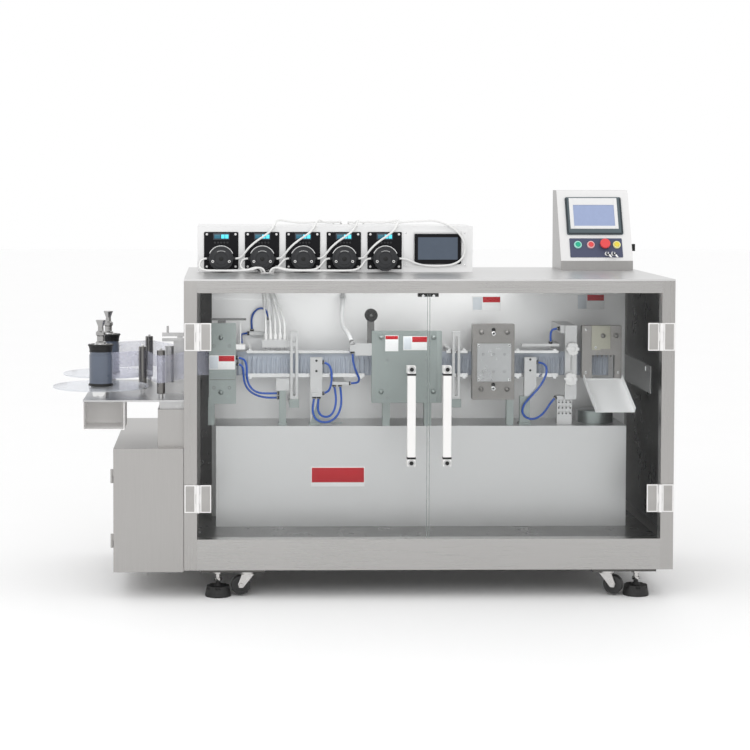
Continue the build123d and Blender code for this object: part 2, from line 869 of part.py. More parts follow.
def filling_nozzles():
    y = (strip_y - 13, strip_y + 13)
    body = block((nozzle_left, nozzle_left + nozzle_block_width), y, (nozzle_block_low, nozzle_block_high))
    for x in nozzle_xs():
        body += upright(x, strip_y, (strip_high + 6, nozzle_block_low), 2.2)
        body += upright(x, strip_y, (nozzle_block_high, nozzle_block_high + nozzle_socket), 7)
        socket = (nozzle_block_high + 2, nozzle_block_high + nozzle_socket + 1)
        body -= upright(x, strip_y, socket, tube_size / 2 + 0.3)
    slot_middle = sum(post_xs[0]) / 2
    arm_y = (post_y[1] + 1, post_y[1] + 15)
    body += block((nozzle_left + nozzle_block_width - 6, slot_middle + 12), arm_y, (884, 904))
    half = post_slot / 2 - running_gap
    body += block((slot_middle - half, slot_middle + half), (post_y[0], arm_y[1]), (887, 901))
    return [body]


# Stations along the strip
plate_sheet = 12.0
nut_radius = 9.0
pillar_radius = 9.0
push_rod = 8.0
push_rod_end = 540.0
rod_high = 886.0
rod_low = 758.0
mould_low = 748.0
mould_high = 896.0
mould_front = 322.5
mould_rear = 337.5
forming_x = (87.0, 188.0)
sealing_x = (693.0, 954.0)
stamping_x = (1070.0, 1227.0)
exit_x = (1483.0, 1632.0)
forming_nuts = ((132.0, 923.0), (132.0, 718.0))
sealing_nuts = ((728.0, 925.0), (923.0, 925.0), (728.0, 722.0), (923.0, 722.0))
stamping_nuts = ((1103.0, 943.0), (1199.0, 943.0), (1103.0, 730.0), (1199.0, 730.0))
exit_nuts = ((1561.0, 928.0), (1610.0, 928.0))
sealing_front = 240.0
forming_front = 262.0
stamping_front = 250.0
stamping_block = 40.0
exit_front = 272.0
exit_block = 28.0
window_x = (1521.0, 1606.0)
window_high = 855.0


def domed_nut(x, y, z):
    nut = lying(x, (y - 8, y), z, nut_radius)
    dome = Pos(x, y - 8, z) * Sphere(nut_radius - 1)
    return nut + (dome & block((x - 20, x + 20), (y - 20, y - 8), (z - 20, z + 20)))


def station_front(x, y, z, nuts):
    plate = block(x, y, z)
    plate = fillet(plate.edges().filter_by(Axis.Y), 3)
    for spot_x, spot_z in nuts:
        plate += domed_nut(spot_x, y[0], spot_z)
    return plate


def station_plates():
    forming_y = (forming_front, forming_front + plate_sheet)
    sealing_y = (sealing_front, sealing_front + plate_sheet)
    stamping_y = (stamping_front, stamping_front + stamping_block)
    exit_y = (exit_front, exit_front + exit_block)
    forming = station_front(forming_x, forming_y, (675, 976), forming_nuts)
    sealing = station_front(sealing_x, sealing_y, (680, 949), sealing_nuts)
    stamping = station_front(stamping_x, stamping_y, (690, 973), stamping_nuts)
    stamping += block((1087, 1214), (stamping_front - 5, stamping_front), (759, 901))
    leaving = station_front(exit_x, exit_y, (768, 966), exit_nuts)
    leaving -= block(window_x, (exit_front - 30, exit_front + exit_block + 1), (760, window_high))
    leaving += block((1520, 1552), (exit_front - 4, exit_front), (874, 966))
    return [forming, sealing, stamping, leaving]


def pillars():
    spots = [(spot, forming_front + plate_sheet) for spot in forming_nuts]
    spots += [(spot, sealing_front + plate_sheet) for spot in sealing_nuts]
    spots += [(spot, stamping_front + stamping_block) for spot in stamping_nuts]
    spots += [(spot, exit_front + exit_block) for spot in exit_nuts]
    return [lying(x, (y, wall_front), z, pillar_radius) for (x, z), y in spots]


def push_rods():
    # Where each moving tool's rods pass through the upright plate
    high_low = (rod_high, rod_low)
    return {
        "forming_mould": [(137.0, z) for z in high_low],
        "sealing_mould": [(x, z) for x in (770.0, 876.0) for z in high_low],
        "stamping_mould": [(1148.0, z) for z in high_low],
        "cutting_punch": [(1545.0, rod_high), (1580.0, rod_high)],
    }


def sliding_tool(name, x, y, z):
    tool = block(x, y, z)
    for rod_x, rod_z in push_rods()[name]:
        tool += lying(rod_x, (y[0] + 4, push_rod_end), rod_z, push_rod)
    return [tool]


def sliding_tools():
    tall = (mould_low, mould_high)
    thin = (mould_front - 16, mould_front)
    deep = (mould_front - 30, mould_front)
    return {
        "forming_mould": sliding_tool("forming_mould", (97, 178), deep, tall),
        "sealing_mould": sliding_tool("sealing_mould", (702, 945), deep, tall),
        "stamping_mould": sliding_tool("stamping_mould", (1082, 1215), thin, tall),
        "cutting_punch": sliding_tool("cutting_punch", (1530, 1596), (mould_front - 8, mould_front), (868, mould_high)),
    }


def drilled(plate):
    for spots in push_rods().values():
        for x, z in spots:
            plate -= lying(x, (wall_front - 1, wall_front + wall_plate + 1), z, push_rod + running_gap)
    return plate


def rear_moulds():
    solids = []
    for left, right in ((97, 178), (702, 945), (1082, 1215), (1530, 1596)):
        middle = (left + right) / 2
        anvil = block((left, right), (mould_rear, mould_rear + 22), (770, 874))
        anvil += block((middle - 22, middle + 22), (mould_rear + 22, wall_front), (785, 855))
        solids.append(anvil)
    return solids


gripper_bodies = (
    ((338.0, 387.0), (722.0, 765.0), (350.0, 375.0)),
    ((466.0, 511.0), (703.0, 846.0), (466.0, 500.0)),
    ((1269.0, 1314.0), (700.0, 846.0), (1252.0, 1290.0)),
)
gripper_y = (280.0, 300.0)
jaw_y = (304.5, 316.5)
jaw_pin = 3.0


def gripper_holders():
    solids = []
    for x, z, leg_x in gripper_bodies:
        body = block(x, gripper_y, z)
        body += block(leg_x, gripper_y, (cover_top, z[0]))
        body += block((leg_x[0] - 4, leg_x[1] + 4), (gripper_y[0] - 6, gripper_y[1] + 20), (cover_top, cover_top + 8))
        middle = sum(x) / 2
        for pin_z in (z[0] + 12, z[1] - 12):
            body -= lying(middle, (gripper_y[1] - 16, gripper_y[1] + 1), pin_z, jaw_pin + running_gap)
        solids.append(body)
    return solids


def strip_grippers():
    solids = []
    for x, z, _ in gripper_bodies:
        middle = sum(x) / 2
        jaw = block((x[0] + 4, x[1] - 4), jaw_y, (z[0] + 4, z[1] - 4))
        for pin_z in (z[0] + 12, z[1] - 12):
            jaw += lying(middle, (gripper_y[1] - 10, jaw_y[0]), pin_z, jaw_pin)
        solids.append(jaw)
    return solids


def slotted_posts():
    solids = []
    for x in post_xs:
        middle = sum(x) / 2
        upright_bar = block(x, post_y, post_z)
        slot = block((middle - post_slot / 2, middle + post_slot / 2), (post_y[0] - 1, post_y[1] + 1), (700, 925))
        foot = block(x, (post_y[1], wall_front), (post_z[0], post_z[0] + 30))
        clamp = block((x[0] - 3, x[1] + 3), (post_y[0] - 12, post_y[0]), (post_z[0], post_z[0] + 30))
        solids.append(upright_bar - slot + foot + clamp)
    return solids


roller_x = 690.0
roller_z = 1008.0
roller_size = 48.0
roller_y = (228.0, 251.7)


def tension_arm():
    arm = block((677, 703), (sealing_front + plate_sheet, sealing_front + 22), (857, 1022))
    return arm + lying(roller_x, (roller_y[0] - 3, sealing_front + plate_sheet), roller_z, 5)


def tension_roller():
    roller = lying(roller_x, roller_y, roller_z, roller_size / 2)
    roller = chamfer(roller.edges().filter_by(GeomType.CIRCLE), 2)
    roller -= lying(roller_x, (roller_y[0] - 1, roller_y[0] + 3), roller_z, 15)
    return [roller - lying(roller_x, (roller_y[0] - 1, roller_y[1] + 1), roller_z, 5 + running_gap)]


def knob_bracket():
    plate = block((1418, 1462), (262, 272), (690, 967))
    plate += block((1402, 1460), (272, wall_front), (937, 967))
    for x, z in ((1443, 881), (1437, 768)):
        star = lying(x, (238, 254), z, 20)
        for index in range(6):
            angle = 2 * pi * index / 6
            star += lying(x + 18 * cos(angle), (238, 254), z + 18 * sin(angle), 6)
        plate += star + lying(x, (254, 262), z, 8)
    return plate + upright(1441, 260, (800, 850), 3)


def drilled_manifold():
    body = block((1393, 1449), (285, 315), (cover_top, 701))
    for row in range(3):
        for column in range(4):
            body -= lying(1402 + column * 12.5, (280, 293), 640 + row * 22, 3.2)
    return body


def small_brackets():
    return [
        block((631, 693), (sealing_front, sealing_front + plate_sheet), (857, 902)),
        block((612, 631), (sealing_front, sealing_front + 22), (872, 896)),
        block((188, 222), (forming_front, 300), (878, 897)) + upright(205, 281, (897, 975), 2),
        block((120, 150), (forming_front, 284), (976, 986)) + block((94, 226), (270, 282), (986, 994)),
        block((240, 302), (440, wall_front), (915, 930)),
        block((306, 322), (446, wall_front), (958, 974)),
        block((472, 506), (266, gripper_y[0]), (700, 716)),
        block((545, 612), (298, 318), (741, 752)) + block((560, 600), (318, wall_front), (741, 752)),
        block((1261, 1404), (300, 317), (885, 896)) + block((1388, 1404), (317, wall_front), (885, 896)),
        block((470, 590), (325, 400), (cover_top, cover_top + 4)),
        block((84, 108), (forming_front + plate_sheet, 300), (cover_top, 700)),
        block((735, 762), (sealing_front + plate_sheet, 285), (cover_top, 700)),
        block((890, 917), (sealing_front + plate_sheet, 285), (cover_top, 700)),
        block((1200, 1226), (262, stamping_front + stamping_block), (cover_top, 690)),
        upright(1550, 372, (cover_top, cover_top + 46), 70),
        tension_arm(),
        knob_bracket(),
        drilled_manifold(),
    ]


def station_supports():
    return pillars() + rear_moulds() + gripper_holders() + slotted_posts() + small_brackets() + fittings()


chute_sheet = 2.0
chute_top = (1487.0, 270.0, 766.0)
chute_width = 143.0
chute_run = 120.0
chute_drop = 110.0
chute_shift = 26.0
chute_lip = 24.0


guard_sheet = 4.0  # dark plate beside the chute


def exit_chute():
    slope = (chute_run**2 + chute_drop**2) ** 0.5
    normal = (0, chute_drop / slope, -chute_run / slope)
    face = Plane(chute_top, x_dir=(1, 0, 0), z_dir=normal)
    corners = [(0, 0), (chute_width, 0), (chute_width + chute_shift, slope), (chute_shift, slope)]
    floor = extrude(make_face(Polyline(*corners, close=True)), chute_sheet)
    for start, end in ((corners[0], corners[3]), (corners[1], corners[2])):
        edge = [start, (start[0] + chute_sheet, start[1]), (end[0] + chute_sheet, end[1]), end]
        floor += Pos(0, 0, -chute_lip) * extrude(make_face(Polyline(*edge, close=True)), chute_lip + chute_sheet)
    shelf = block((1490, 1626), (chute_top[1] + 2, 300), (chute_top[2], 768))
    shelf += block((1490, 1626), (chute_top[1] - 3, chute_top[1] + 2), (chute_top[2] - 2, chute_top[2]))
    sloped = face * floor
    sloped -= block((1400, 1700), (exit_front - 2, 400), (700, 860))
    guard_x = (wall_right, wall_right + guard_sheet)
    guard = block(guard_x, (30, wall_front), (739, 841))
    guard -= block((guard_x[0] - 1, guard_x[1] + 1), (30, 120), (838, 842))
    peg = rod((guard_x[1], 100, 822), (guard_x[1] + 14, 100, 822), 4)
    peg += upright(wall_right + guard_sheet / 2, 100, (815, 830), 5)
    return [sloped + shelf, guard + peg]


cam_y = 360.0
cam_z = 420.0
cam_shaft_radius = 15.0
bearing_xs = (430.0, 900.0, 1560.0)
cam_xs = (560.0, 803.0, 1148.0, 1480.0)
motor_x = (150.0, 300.0)
gearbox_x = (300.0, 405.0)


def drive_motor():
    motor = rod((motor_x[0], cam_y, cam_z), (motor_x[1], cam_y, cam_z), 62)
    gearbox = block(gearbox_x, (cam_y - 65, cam_y + 65), (cam_z - 65, cam_z + 65))
    bore = (gearbox_x[1] - 25, gearbox_x[1] + 1)
    gearbox -= rod((bore[0], cam_y, cam_z), (bore[1], cam_y, cam_z), cam_shaft_radius + running_gap)
    foot = block((gearbox_x[0] + 10, gearbox_x[1] - 10), (cam_y - 55, cam_y + 55), (rail_top, cam_z - 65))
    solids = [motor + gearbox + foot]
    for x in bearing_xs:
        stand = block((x - 20, x + 20), (cam_y - 40, cam_y + 40), (rail_top, cam_z + 34))
        stand -= rod((x - 21, cam_y, cam_z), (x + 21, cam_y, cam_z), cam_shaft_radius + running_gap)
        solids.append(stand)
    return solids


def cam_shaft():
    end = bearing_xs[-1] + 40
    shaft = rod((gearbox_x[1] - 20, cam_y, cam_z), (end, cam_y, cam_z), cam_shaft_radius)
    for index, x in enumerate(cam_xs):
        angle = 2 * pi * index / len(cam_xs)
        middle_y = cam_y + 14 * cos(angle)
        middle_z = cam_z + 14 * sin(angle)
        shaft += rod((x - 10, middle_y, middle_z), (x + 10, middle_y, middle_z), 52)
        shaft += rod((x - 22, cam_y, cam_z), (x + 22, cam_y, cam_z), 26)
    return [shaft]


# Tubes: routes are points chosen by hand, from one end to the other
fitting_length = 8.0
fitting_radius = 6.5
hose_size = 16.0
air_routes = (
    ((197, 268, 846), (212, 267, 845), (224, 268, 833), (229, 270, 806), (228, 272, 776), (234, 276, 748),
     (250, 281, 724), (276, 285, 712), (306, 288, 710), (342, 290, 711)),
    ((198, 270, 822), (208, 270, 819), (215, 272, 806), (216, 275, 782), (219, 279, 754), (231, 284, 728),
     (254, 289, 708), (284, 292, 697), (314, 294, 693), (342, 295, 694)),
    ((250, 455, 938), (247, 454, 964), (250, 452, 990), (264, 450, 1012), (286, 449, 1021), (306, 451, 1010),
     (314, 455, 982)),
    ((212, 308, 888), (212, 336, 891), (210, 368, 899), (208, 400, 911), (210, 430, 920), (218, 449, 922),
     (232, 455, 922)),
    ((519, 290, 826), (534, 288, 821), (543, 286, 806), (547, 285, 780), (546, 285, 752), (540, 286, 728),
     (532, 288, 716), (519.5, 290, 712)),
    ((497, 273, 692), (494, 271, 672), (494, 270, 648), (506, 271, 628), (529, 274, 622), (548, 280, 632),
     (560, 288, 656), (564, 296, 684), (562, 303, 710), (558, 308, 733)),
    ((480, 273, 692), (476, 270, 670), (474, 268, 645), (482, 267, 620), (502, 268, 606), (530, 272, 603),
     (556, 279, 614), (574, 288, 636), (583, 296, 664), (584, 303, 698), (580, 308, 733)),
    ((622, 251, 864), (624, 255, 838), (630, 262, 812), (640, 272, 788), (650, 284, 768), (648, 297, 752),
     (636, 305, 747), (620, 308, 746)),
    ((1322, 290, 826), (1340, 287, 824), (1353, 282, 810), (1352, 276, 786), (1340, 272, 760), (1324, 270, 735),
     (1304, 270, 712), (1283, 270, 690), (1264, 270, 666), (1259, 270, 640), (1276, 272, 618), (1304, 275, 613),
     (1332, 279, 626), (1354, 284, 650), (1370, 289, 675), (1385, 292, 690)),
    ((1394, 300, 952), (1380, 301, 951), (1372, 302, 941), (1370, 303, 925), (1371, 304, 904)),
)
hose_route = (
    (597, 450, 1062), (596, 426, 1058), (594, 406, 1042), (591, 394, 1018), (589, 384, 992), (590, 368, 966),
    (596, 342, 949), (606, 312, 937), (613, 286, 925), (619, 259, 908),
)


def suction_route(index):
    # From a head's right port, up past the next head, over the case and down to the manifold behind
    x = pump_middles[index] + port_x
    y = port_y
    top = cab_top + case_height
    back = case_front + case_depth
    spot = manifold_spots()[index]
    climb = [(15, 0, 0), (31, -5, 15), (51, -6, 42), (80, -2, 67), (110, 4, 86), (138, 12, 107)]
    climb += [(152, 21, 133), (161, 46, 148)]
    if index == pump_count - 1:
        climb = [(19, 0, 0), (46, 4, -11), (78, 13, -24), (124, 15, -30), (170, 15, -29), (212, 14, -23)]
        climb += [(242, 12, -4), (254, 10, 27), (251, 8, 61), (235, 8, 92), (207, 10, 117)]
        climb += [(171, 18, 136), (134, 34, 146), (92, 66, 142)]
    points = [(x, y, head_height)] + [(x + dx, y + dy, head_height + dz) for dx, dy, dz in climb]
    near_x, near_y, _ = points[-1]
    low = top + 8
    for share, lift in ((0.2, 8), (0.42, 1), (0.64, 3), (0.86, 1)):
        points.append((near_x + (spot - near_x) * share, near_y + (back - near_y) * share * 0.92, low + lift))
    return points + [(spot, back + 2, low + 3), (spot, back + 15, top - 9), (spot, back + 15, top - 34)]


lane_lift = 9.0  # from the top plate to the middle of a tube that lies on it
# Each delivery tube's place in the grommet, its nozzle and its lane along the top plate
delivery_spots = ((299, 422, 1, 421), (288.5, 432, 0, 431), (316, 450, 2, 450), (327.5, 432, 4, 431), (317, 422, 3, 421))


def delivery_route(index):
    # From a head's left port, along the top plate, through the grommet and down to a nozzle
    hole_x, hole_y, nozzle, lane = delivery_spots[index]
    x = pump_middles[index] - port_x
    start = [(0, 0, 0), (-15, 0, 0), (-28, -7, -16)]
    points = [(x + dx, port_y + dy, head_height + dz) for dx, dy, dz in start]
    if index == 2:
        points += [(x - 43, 450, cab_top + 21), (x - 58, 449, cab_top + 11), (x - 70, hole_y, cab_top - 3)]
        return points + nozzle_drop(nozzle_xs()[nozzle], hole_x, hole_y, cab_top - 29)
    side = 1 if x > hole_x else -1
    turns = (-44, -72) if side > 0 else (-28, -6)
    points += [(x + turns[0], lane + 14, cab_top + 18), (x + turns[1], lane, cab_top + lane_lift)]
    points += plate_lane(points[-1][0], hole_x + side * 52, lane)
    points += [(hole_x + side * dx, hole_y, cab_top + dz) for dx, dz in ((22, 23), (1, 11))]
    return points + nozzle_drop(nozzle_xs()[nozzle], hole_x, hole_y, cab_top - 21)


def plate_lane(start_x, arrive, lane):
    gap = arrive - start_x
    if abs(gap) < 30:
        return []
    steps = max(1, round(abs(gap) / 70))
    middles = [(start_x + gap * step / steps, lane + (step % 2)) for step in range(1, steps)]
    return [(x, y, cab_top + lane_lift) for x, y in middles] + [(arrive, lane, cab_top + lane_lift + 2)]


def nozzle_drop(x, hole_x, hole_y, start):
    points = []
    for share, z in ((0.0, start), (0.1, cab_top - 67), (0.5, 1034), (0.86, 992), (1.0, 962)):
        points.append((hole_x + (x - hole_x) * share, hole_y + (strip_y - hole_y) * share, z))
    return points + [(x, strip_y, nozzle_block_high + nozzle_socket - 7)]


def bend_radii(points):
    radii = []
    for before, corner, after in zip(points, points[1:], points[2:]):
        arriving = corner - before
        leaving = after - corner
        turn = radians(arriving.get_angle(leaving))
        radii.append(0.45 * min(arriving.length, leaving.length) / tan(turn / 2))
    return radii


def tube(route, size):
    points = [Vector(*point) for point in route]
    radii = bend_radii(points)
    path = FilletPolyline(*points, radius=radii)
    face = Plane(points[0], z_dir=points[1] - points[0]) * Circle(size / 2)
    solid = sweep(face, path=path)
    expected = pi * size**2 / 4 * path.length
    print(f"tube {path.length:.0f} mm, bends {min(radii):.0f} to {max(radii):.0f}, volume {solid.volume / expected:.4f}")
    return solid


def fitting(end, inner, length, radius):
    # A push fitting that carries on from a tube's end
    end = Vector(*end)
    away = (end - Vector(*inner)).normalized()
    return rod(tuple(end), tuple(end + away * length), radius)


def fittings():
    solids = []
    for route in air_routes:
        for end, inner in ((route[0], route[1]), (route[-1], route[-2])):
            solids.append(fitting(end, inner, fitting_length, fitting_radius))
    gland = fitting(hose_route[0], hose_route[1], 20, 12)
    gland -= block((560, 640), (wall_front, wall_front + 30), (1030, 1090))
    solids.append(gland)
    solids.append(fitting(hose_route[-1], hose_route[-2], 10, 9))
    return solids


def air_tubes():
    return [tube(route, tube_size) for route in air_routes] + [tube(hose_route, hose_size)]


def pump_tubes():
    routes = [suction_route(index) for index in range(pump_count)]
    routes += [delivery_route(index) for index in range(pump_count)]
    return [tube(route, tube_size) for route in routes]


def assembly():
    nodes = {
        "cabinet_frame": cabinet_frame(),
        "top_plate": top_plate(),
        "cabinet_panels": cabinet_panels(),
        "mounting_plate": mounting_plate(),
        "base_cover": base_cover(),
        "levelling_feet": levelling_feet(),
        "door_hardware": door_hardware(),
        "pump_case": pump_case(),
        "pump_drives": pump_drives(),
        "pump_heads": pump_heads(),
        "pump_touch_panel": pump_touch_panel(),
        "console_case": console_case(),
        "console_screen": console_screen(),
        "button_plate": button_plate(),
        "main_switch": main_switch(),
        "side_cabinet": side_cabinet(),
        "side_cabinet_door": side_cabinet_door(),
        "unwinder_table": unwinder_table(),
        "front_reel": reel(reel_ys[0]),
        "rear_reel": reel(reel_ys[1]),
        "ampoule_strip": ampoule_strip(),
        "strip_rails": strip_rails(),
        "station_plates": station_plates(),
        "station_supports": station_supports(),
        "filling_nozzles": filling_nozzles(),
        "strip_grippers": strip_grippers(),
        "tension_roller": tension_roller(),
        "exit_chute": exit_chute(),
        "drive_motor": drive_motor(),
        "cam_shaft": cam_shaft(),
        "air_tubes": air_tubes(),
        "pump_tubes": pump_tubes(),
    }
    nodes.update(doors())
    nodes.update(casters())
    nodes.update(buttons())
    nodes.update(sliding_tools())
    for index, middle in enumerate(pump_middles, 1):
        nodes[f"pump_rotor_{index}"] = [pump_rotor(middle)]
    for index, (x, y) in enumerate(roller_spots, 1):
        nodes[f"guide_roller_{index}"] = guide_roller(x, y)
    return nodes


nodes = assembly()
whole = Compound(children=[Compound(children=list(solids)) for solids in nodes.values()]).bounding_box()
to_origin = Pos(-(whole.min.X + whole.max.X) / 2, -(whole.min.Y + whole.max.Y) / 2, 0)
os.makedirs("parts", exist_ok=True)
for name, solids in nodes.items():
    placed = [to_origin * piece for shape in solids for piece in shape.solids()]
    export_step(Compound(children=placed), f"parts/{name}.step")
print(f"{len(nodes)} nodes, origin moved by {to_origin.position}")
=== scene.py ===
import math

import bmesh
import bpy
from mathutils import Matrix, Vector
from mathutils.bvhtree import BVHTree


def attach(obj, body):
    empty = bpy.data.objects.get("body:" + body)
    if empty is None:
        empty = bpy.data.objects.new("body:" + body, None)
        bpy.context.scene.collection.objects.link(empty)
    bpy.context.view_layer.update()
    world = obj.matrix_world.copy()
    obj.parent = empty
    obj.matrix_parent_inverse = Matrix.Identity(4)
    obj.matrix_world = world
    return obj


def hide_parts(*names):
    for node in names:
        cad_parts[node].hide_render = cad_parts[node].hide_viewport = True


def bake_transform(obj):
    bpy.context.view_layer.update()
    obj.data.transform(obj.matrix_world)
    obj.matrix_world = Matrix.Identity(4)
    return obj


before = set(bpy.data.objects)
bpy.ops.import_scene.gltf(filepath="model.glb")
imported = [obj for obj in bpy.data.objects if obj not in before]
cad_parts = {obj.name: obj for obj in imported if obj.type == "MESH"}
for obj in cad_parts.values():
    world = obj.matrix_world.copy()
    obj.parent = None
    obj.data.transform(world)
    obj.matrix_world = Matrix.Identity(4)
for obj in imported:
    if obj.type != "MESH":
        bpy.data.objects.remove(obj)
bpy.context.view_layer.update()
print("frame loaded")

# Drawing places are in mm from the cabinet's left side, its front and the floor.
# The frame's origin is the middle of the whole footprint.
drawing = {"right": 646.0, "back": 393.0}


def toFrame(x, y, z):
    return Vector(((x - drawing["right"]) / 1000, (y - drawing["back"]) / 1000, z / 1000))


def toDrawing(co):
    return Vector((co.x * 1000 + drawing["right"], co.y * 1000 + drawing["back"], co.z * 1000))


# Materials
class Wire:
    def __init__(self, paint, socket):
        self.paint = paint
        self.socket = socket

    def maths(self, operation, other, swap=False):
        a, b = (other, self) if swap else (self, other)
        return self.paint.node("Math", {"operation": operation}, {0: a, 1: b})

    def __add__(self, other):
        return self.maths("ADD", other)

    def __sub__(self, other):
        return self.maths("SUBTRACT", other)

    def __rsub__(self, other):
        return self.maths("SUBTRACT", other, swap=True)

    def __mul__(self, other):
        return self.maths("MULTIPLY", other)

    __radd__ = __add__
    __rmul__ = __mul__


class Paint:
    def __init__(self, name):
        self.material = bpy.data.materials.new(name)
        self.material.use_nodes = True
        self.tree = self.material.node_tree
        self.tree.nodes.clear()
        self.place = self.node("TexCoord", {}, {}, "Object")

    def node(self, kind, settings, inputs, out=0):
        made = self.tree.nodes.new("ShaderNode" + kind)
        for key, value in settings.items():
            if key == "stops":
                ramp = made.color_ramp
                while len(ramp.elements) < len(value):
                    ramp.elements.new(0.5)
                for element, (position, color) in zip(ramp.elements, value):
                    element.position = position
                    element.color = color
            else:
                setattr(made, key, value)
        for key, value in inputs.items():
            if isinstance(value, Wire):
                self.tree.links.new(value.socket, made.inputs[key])
            else:
                made.inputs[key].default_value = value
        return Wire(self, made.outputs[out])

    def noise(self, scale, detail=3.0, stretch=None, rough=0.5):
        vector = self.place
        if stretch:
            vector = self.node("Mapping", {}, {"Vector": self.place, "Scale": stretch})
        inputs = {"Vector": vector, "Scale": scale, "Detail": detail, "Roughness": rough}
        return self.node("TexNoise", {}, inputs)

    def blend(self, share, low, high):
        settings = {"data_type": "RGBA"}
        return self.node("Mix", settings, {"Factor": share, 6: low, 7: high}, 2)

    def ramp(self, value, low, high):
        return self.node("MapRange", {}, {"Value": value, "From Min": low, "From Max": high})

    def bump(self, height, strength, distance, rounding=0.0):
        inputs = {"Height": height, "Strength": strength, "Distance": distance}
        if rounding:
            inputs["Normal"] = self.node("Bevel", {"samples": 4}, {"Radius": rounding})
        return self.node("Bump", {}, inputs)

    def finish(self, **inputs):
        named = {key.replace("_", " "): value for key, value in inputs.items()}
        shader = self.node("BsdfPrincipled", {}, named, "BSDF")
        return self.output(shader)

    def output(self, shader):
        made = self.tree.nodes.new("ShaderNodeOutputMaterial")
        self.tree.links.new(shader.socket, made.inputs["Surface"])
        return self.material


def tone(value, warm=0.0):
    # A grey of that linear value, warmer above 0 and cooler below
    return (value * (1 + warm), value, value * (1 - warm), 1.0)


def scaled(color, share):
    return tuple(min(1.0, part * share) for part in color[:3]) + (1.0,)


# Roundings that the finishes show at edges, in metres
edgeRounding = {"sheet": 0.0012, "machined": 0.0009, "moulded": 0.0008}


def brushed(name, color, rough, grain, contrast=0.12):
    paint = Paint(name)
    lines = paint.noise(60.0, 4.0, grain, 0.65)
    cloud = paint.noise(2.2, 2.0)
    marks = paint.noise(38.0, 5.0, rough=0.7)
    share = lines * 0.55 + cloud * 0.35 + marks * 0.1
    base = paint.blend(share, scaled(color, 1 - contrast), scaled(color, 1 + contrast))
    return paint.finish(
        Base_Color=base,
        Metallic=1.0,
        Roughness=rough + (lines - 0.5) * 0.16 + (cloud - 0.5) * 0.1,
        Normal=paint.bump(lines, 0.12, 0.0004, edgeRounding["sheet"]),
    )


def machined(name, color, rough, metallic=0.85):
    paint = Paint(name)
    pits = paint.noise(900.0, 2.0)
    cloud = paint.noise(9.0, 3.0)
    wear = paint.ramp(paint.noise(46.0, 6.0, rough=0.72), 0.56, 0.72)
    base = paint.blend(cloud, scaled(color, 0.86), scaled(color, 1.12))
    base = paint.blend(wear * 0.35, base, scaled(color, 1.45))
    return paint.finish(
        Base_Color=base,
        Metallic=metallic,
        Roughness=rough + (cloud - 0.5) * 0.2 - wear * 0.06,
        Normal=paint.bump(pits, 0.1, 0.0002, edgeRounding["machined"]),
    )


def moulded(name, color, rough, coat=0.0, speck=0.08, specular=0.5):
    paint = Paint(name)
    fine = paint.noise(700.0, 2.0)
    cloud = paint.noise(14.0, 4.0)
    base = paint.blend(cloud, scaled(color, 1 - speck), scaled(color, 1 + speck))
    return paint.finish(
        Base_Color=base,
        Roughness=rough + (cloud - 0.5) * 0.16,
        Specular_IOR_Level=specular,
        Coat_Weight=coat,
        Coat_Roughness=0.08,
        Normal=paint.bump(fine, 0.08, 0.0002, edgeRounding["moulded"]),
    )


def rubber(name, color, rough=0.62):
    paint = Paint(name)
    grit = paint.noise(420.0, 4.0, rough=0.7)
    dust = paint.ramp(paint.noise(24.0, 5.0), 0.5, 0.8)
    base = paint.blend(dust * 0.5, color, scaled(color, 2.2))
    return paint.finish(
        Base_Color=base,
        Roughness=rough + (grit - 0.5) * 0.2,
        Normal=paint.bump(grit, 0.2, 0.0004),
    )


def pane(name, tint, gloss, haze):
    # A thin clear sheet: straight through, with reflections by Fresnel
    paint = Paint(name)
    smudge = paint.ramp(paint.noise(5.0, 4.0), 0.45, 0.75)
    through = paint.node("BsdfTransparent", {}, {"Color": tint})
    mirror = paint.node("BsdfGlossy", {}, {"Color": (1, 1, 1, 1), "Roughness": 0.04})
    milk = paint.node("BsdfDiffuse", {}, {"Color": (0.9, 0.92, 0.94, 1)})
    fresnel = paint.node("Fresnel", {}, {"IOR": 1.4})
    clear = paint.node("MixShader", {}, {0: haze + smudge * 0.012, 1: through, 2: milk})
    return paint.output(paint.node("MixShader", {}, {0: fresnel * gloss, 1: clear, 2: mirror}))


def film(name, color, alpha, rough=0.12):
    paint = Paint(name)
    ripple = paint.noise(30.0, 3.0)
    base = paint.blend(ripple, scaled(color, 0.92), color)
    return paint.finish(
        Base_Color=base,
        Roughness=rough + ripple * 0.1,
        Alpha=alpha + (ripple - 0.5) * 0.16,
        IOR=1.5,
        Normal=paint.bump(ripple, 0.3, 0.001),
    )


def glowing(name, color, strength, back):
    paint = Paint(name)
    cloud = paint.noise(60.0, 1.0)
    base = paint.blend(cloud, scaled(back, 0.9), back)
    shine = paint.blend(cloud, scaled(color, 0.94), color)
    return paint.finish(
        Base_Color=base,
        Roughness=0.2 + cloud * 0.08,
        Emission_Color=shine,
        Emission_Strength=strength,
    )


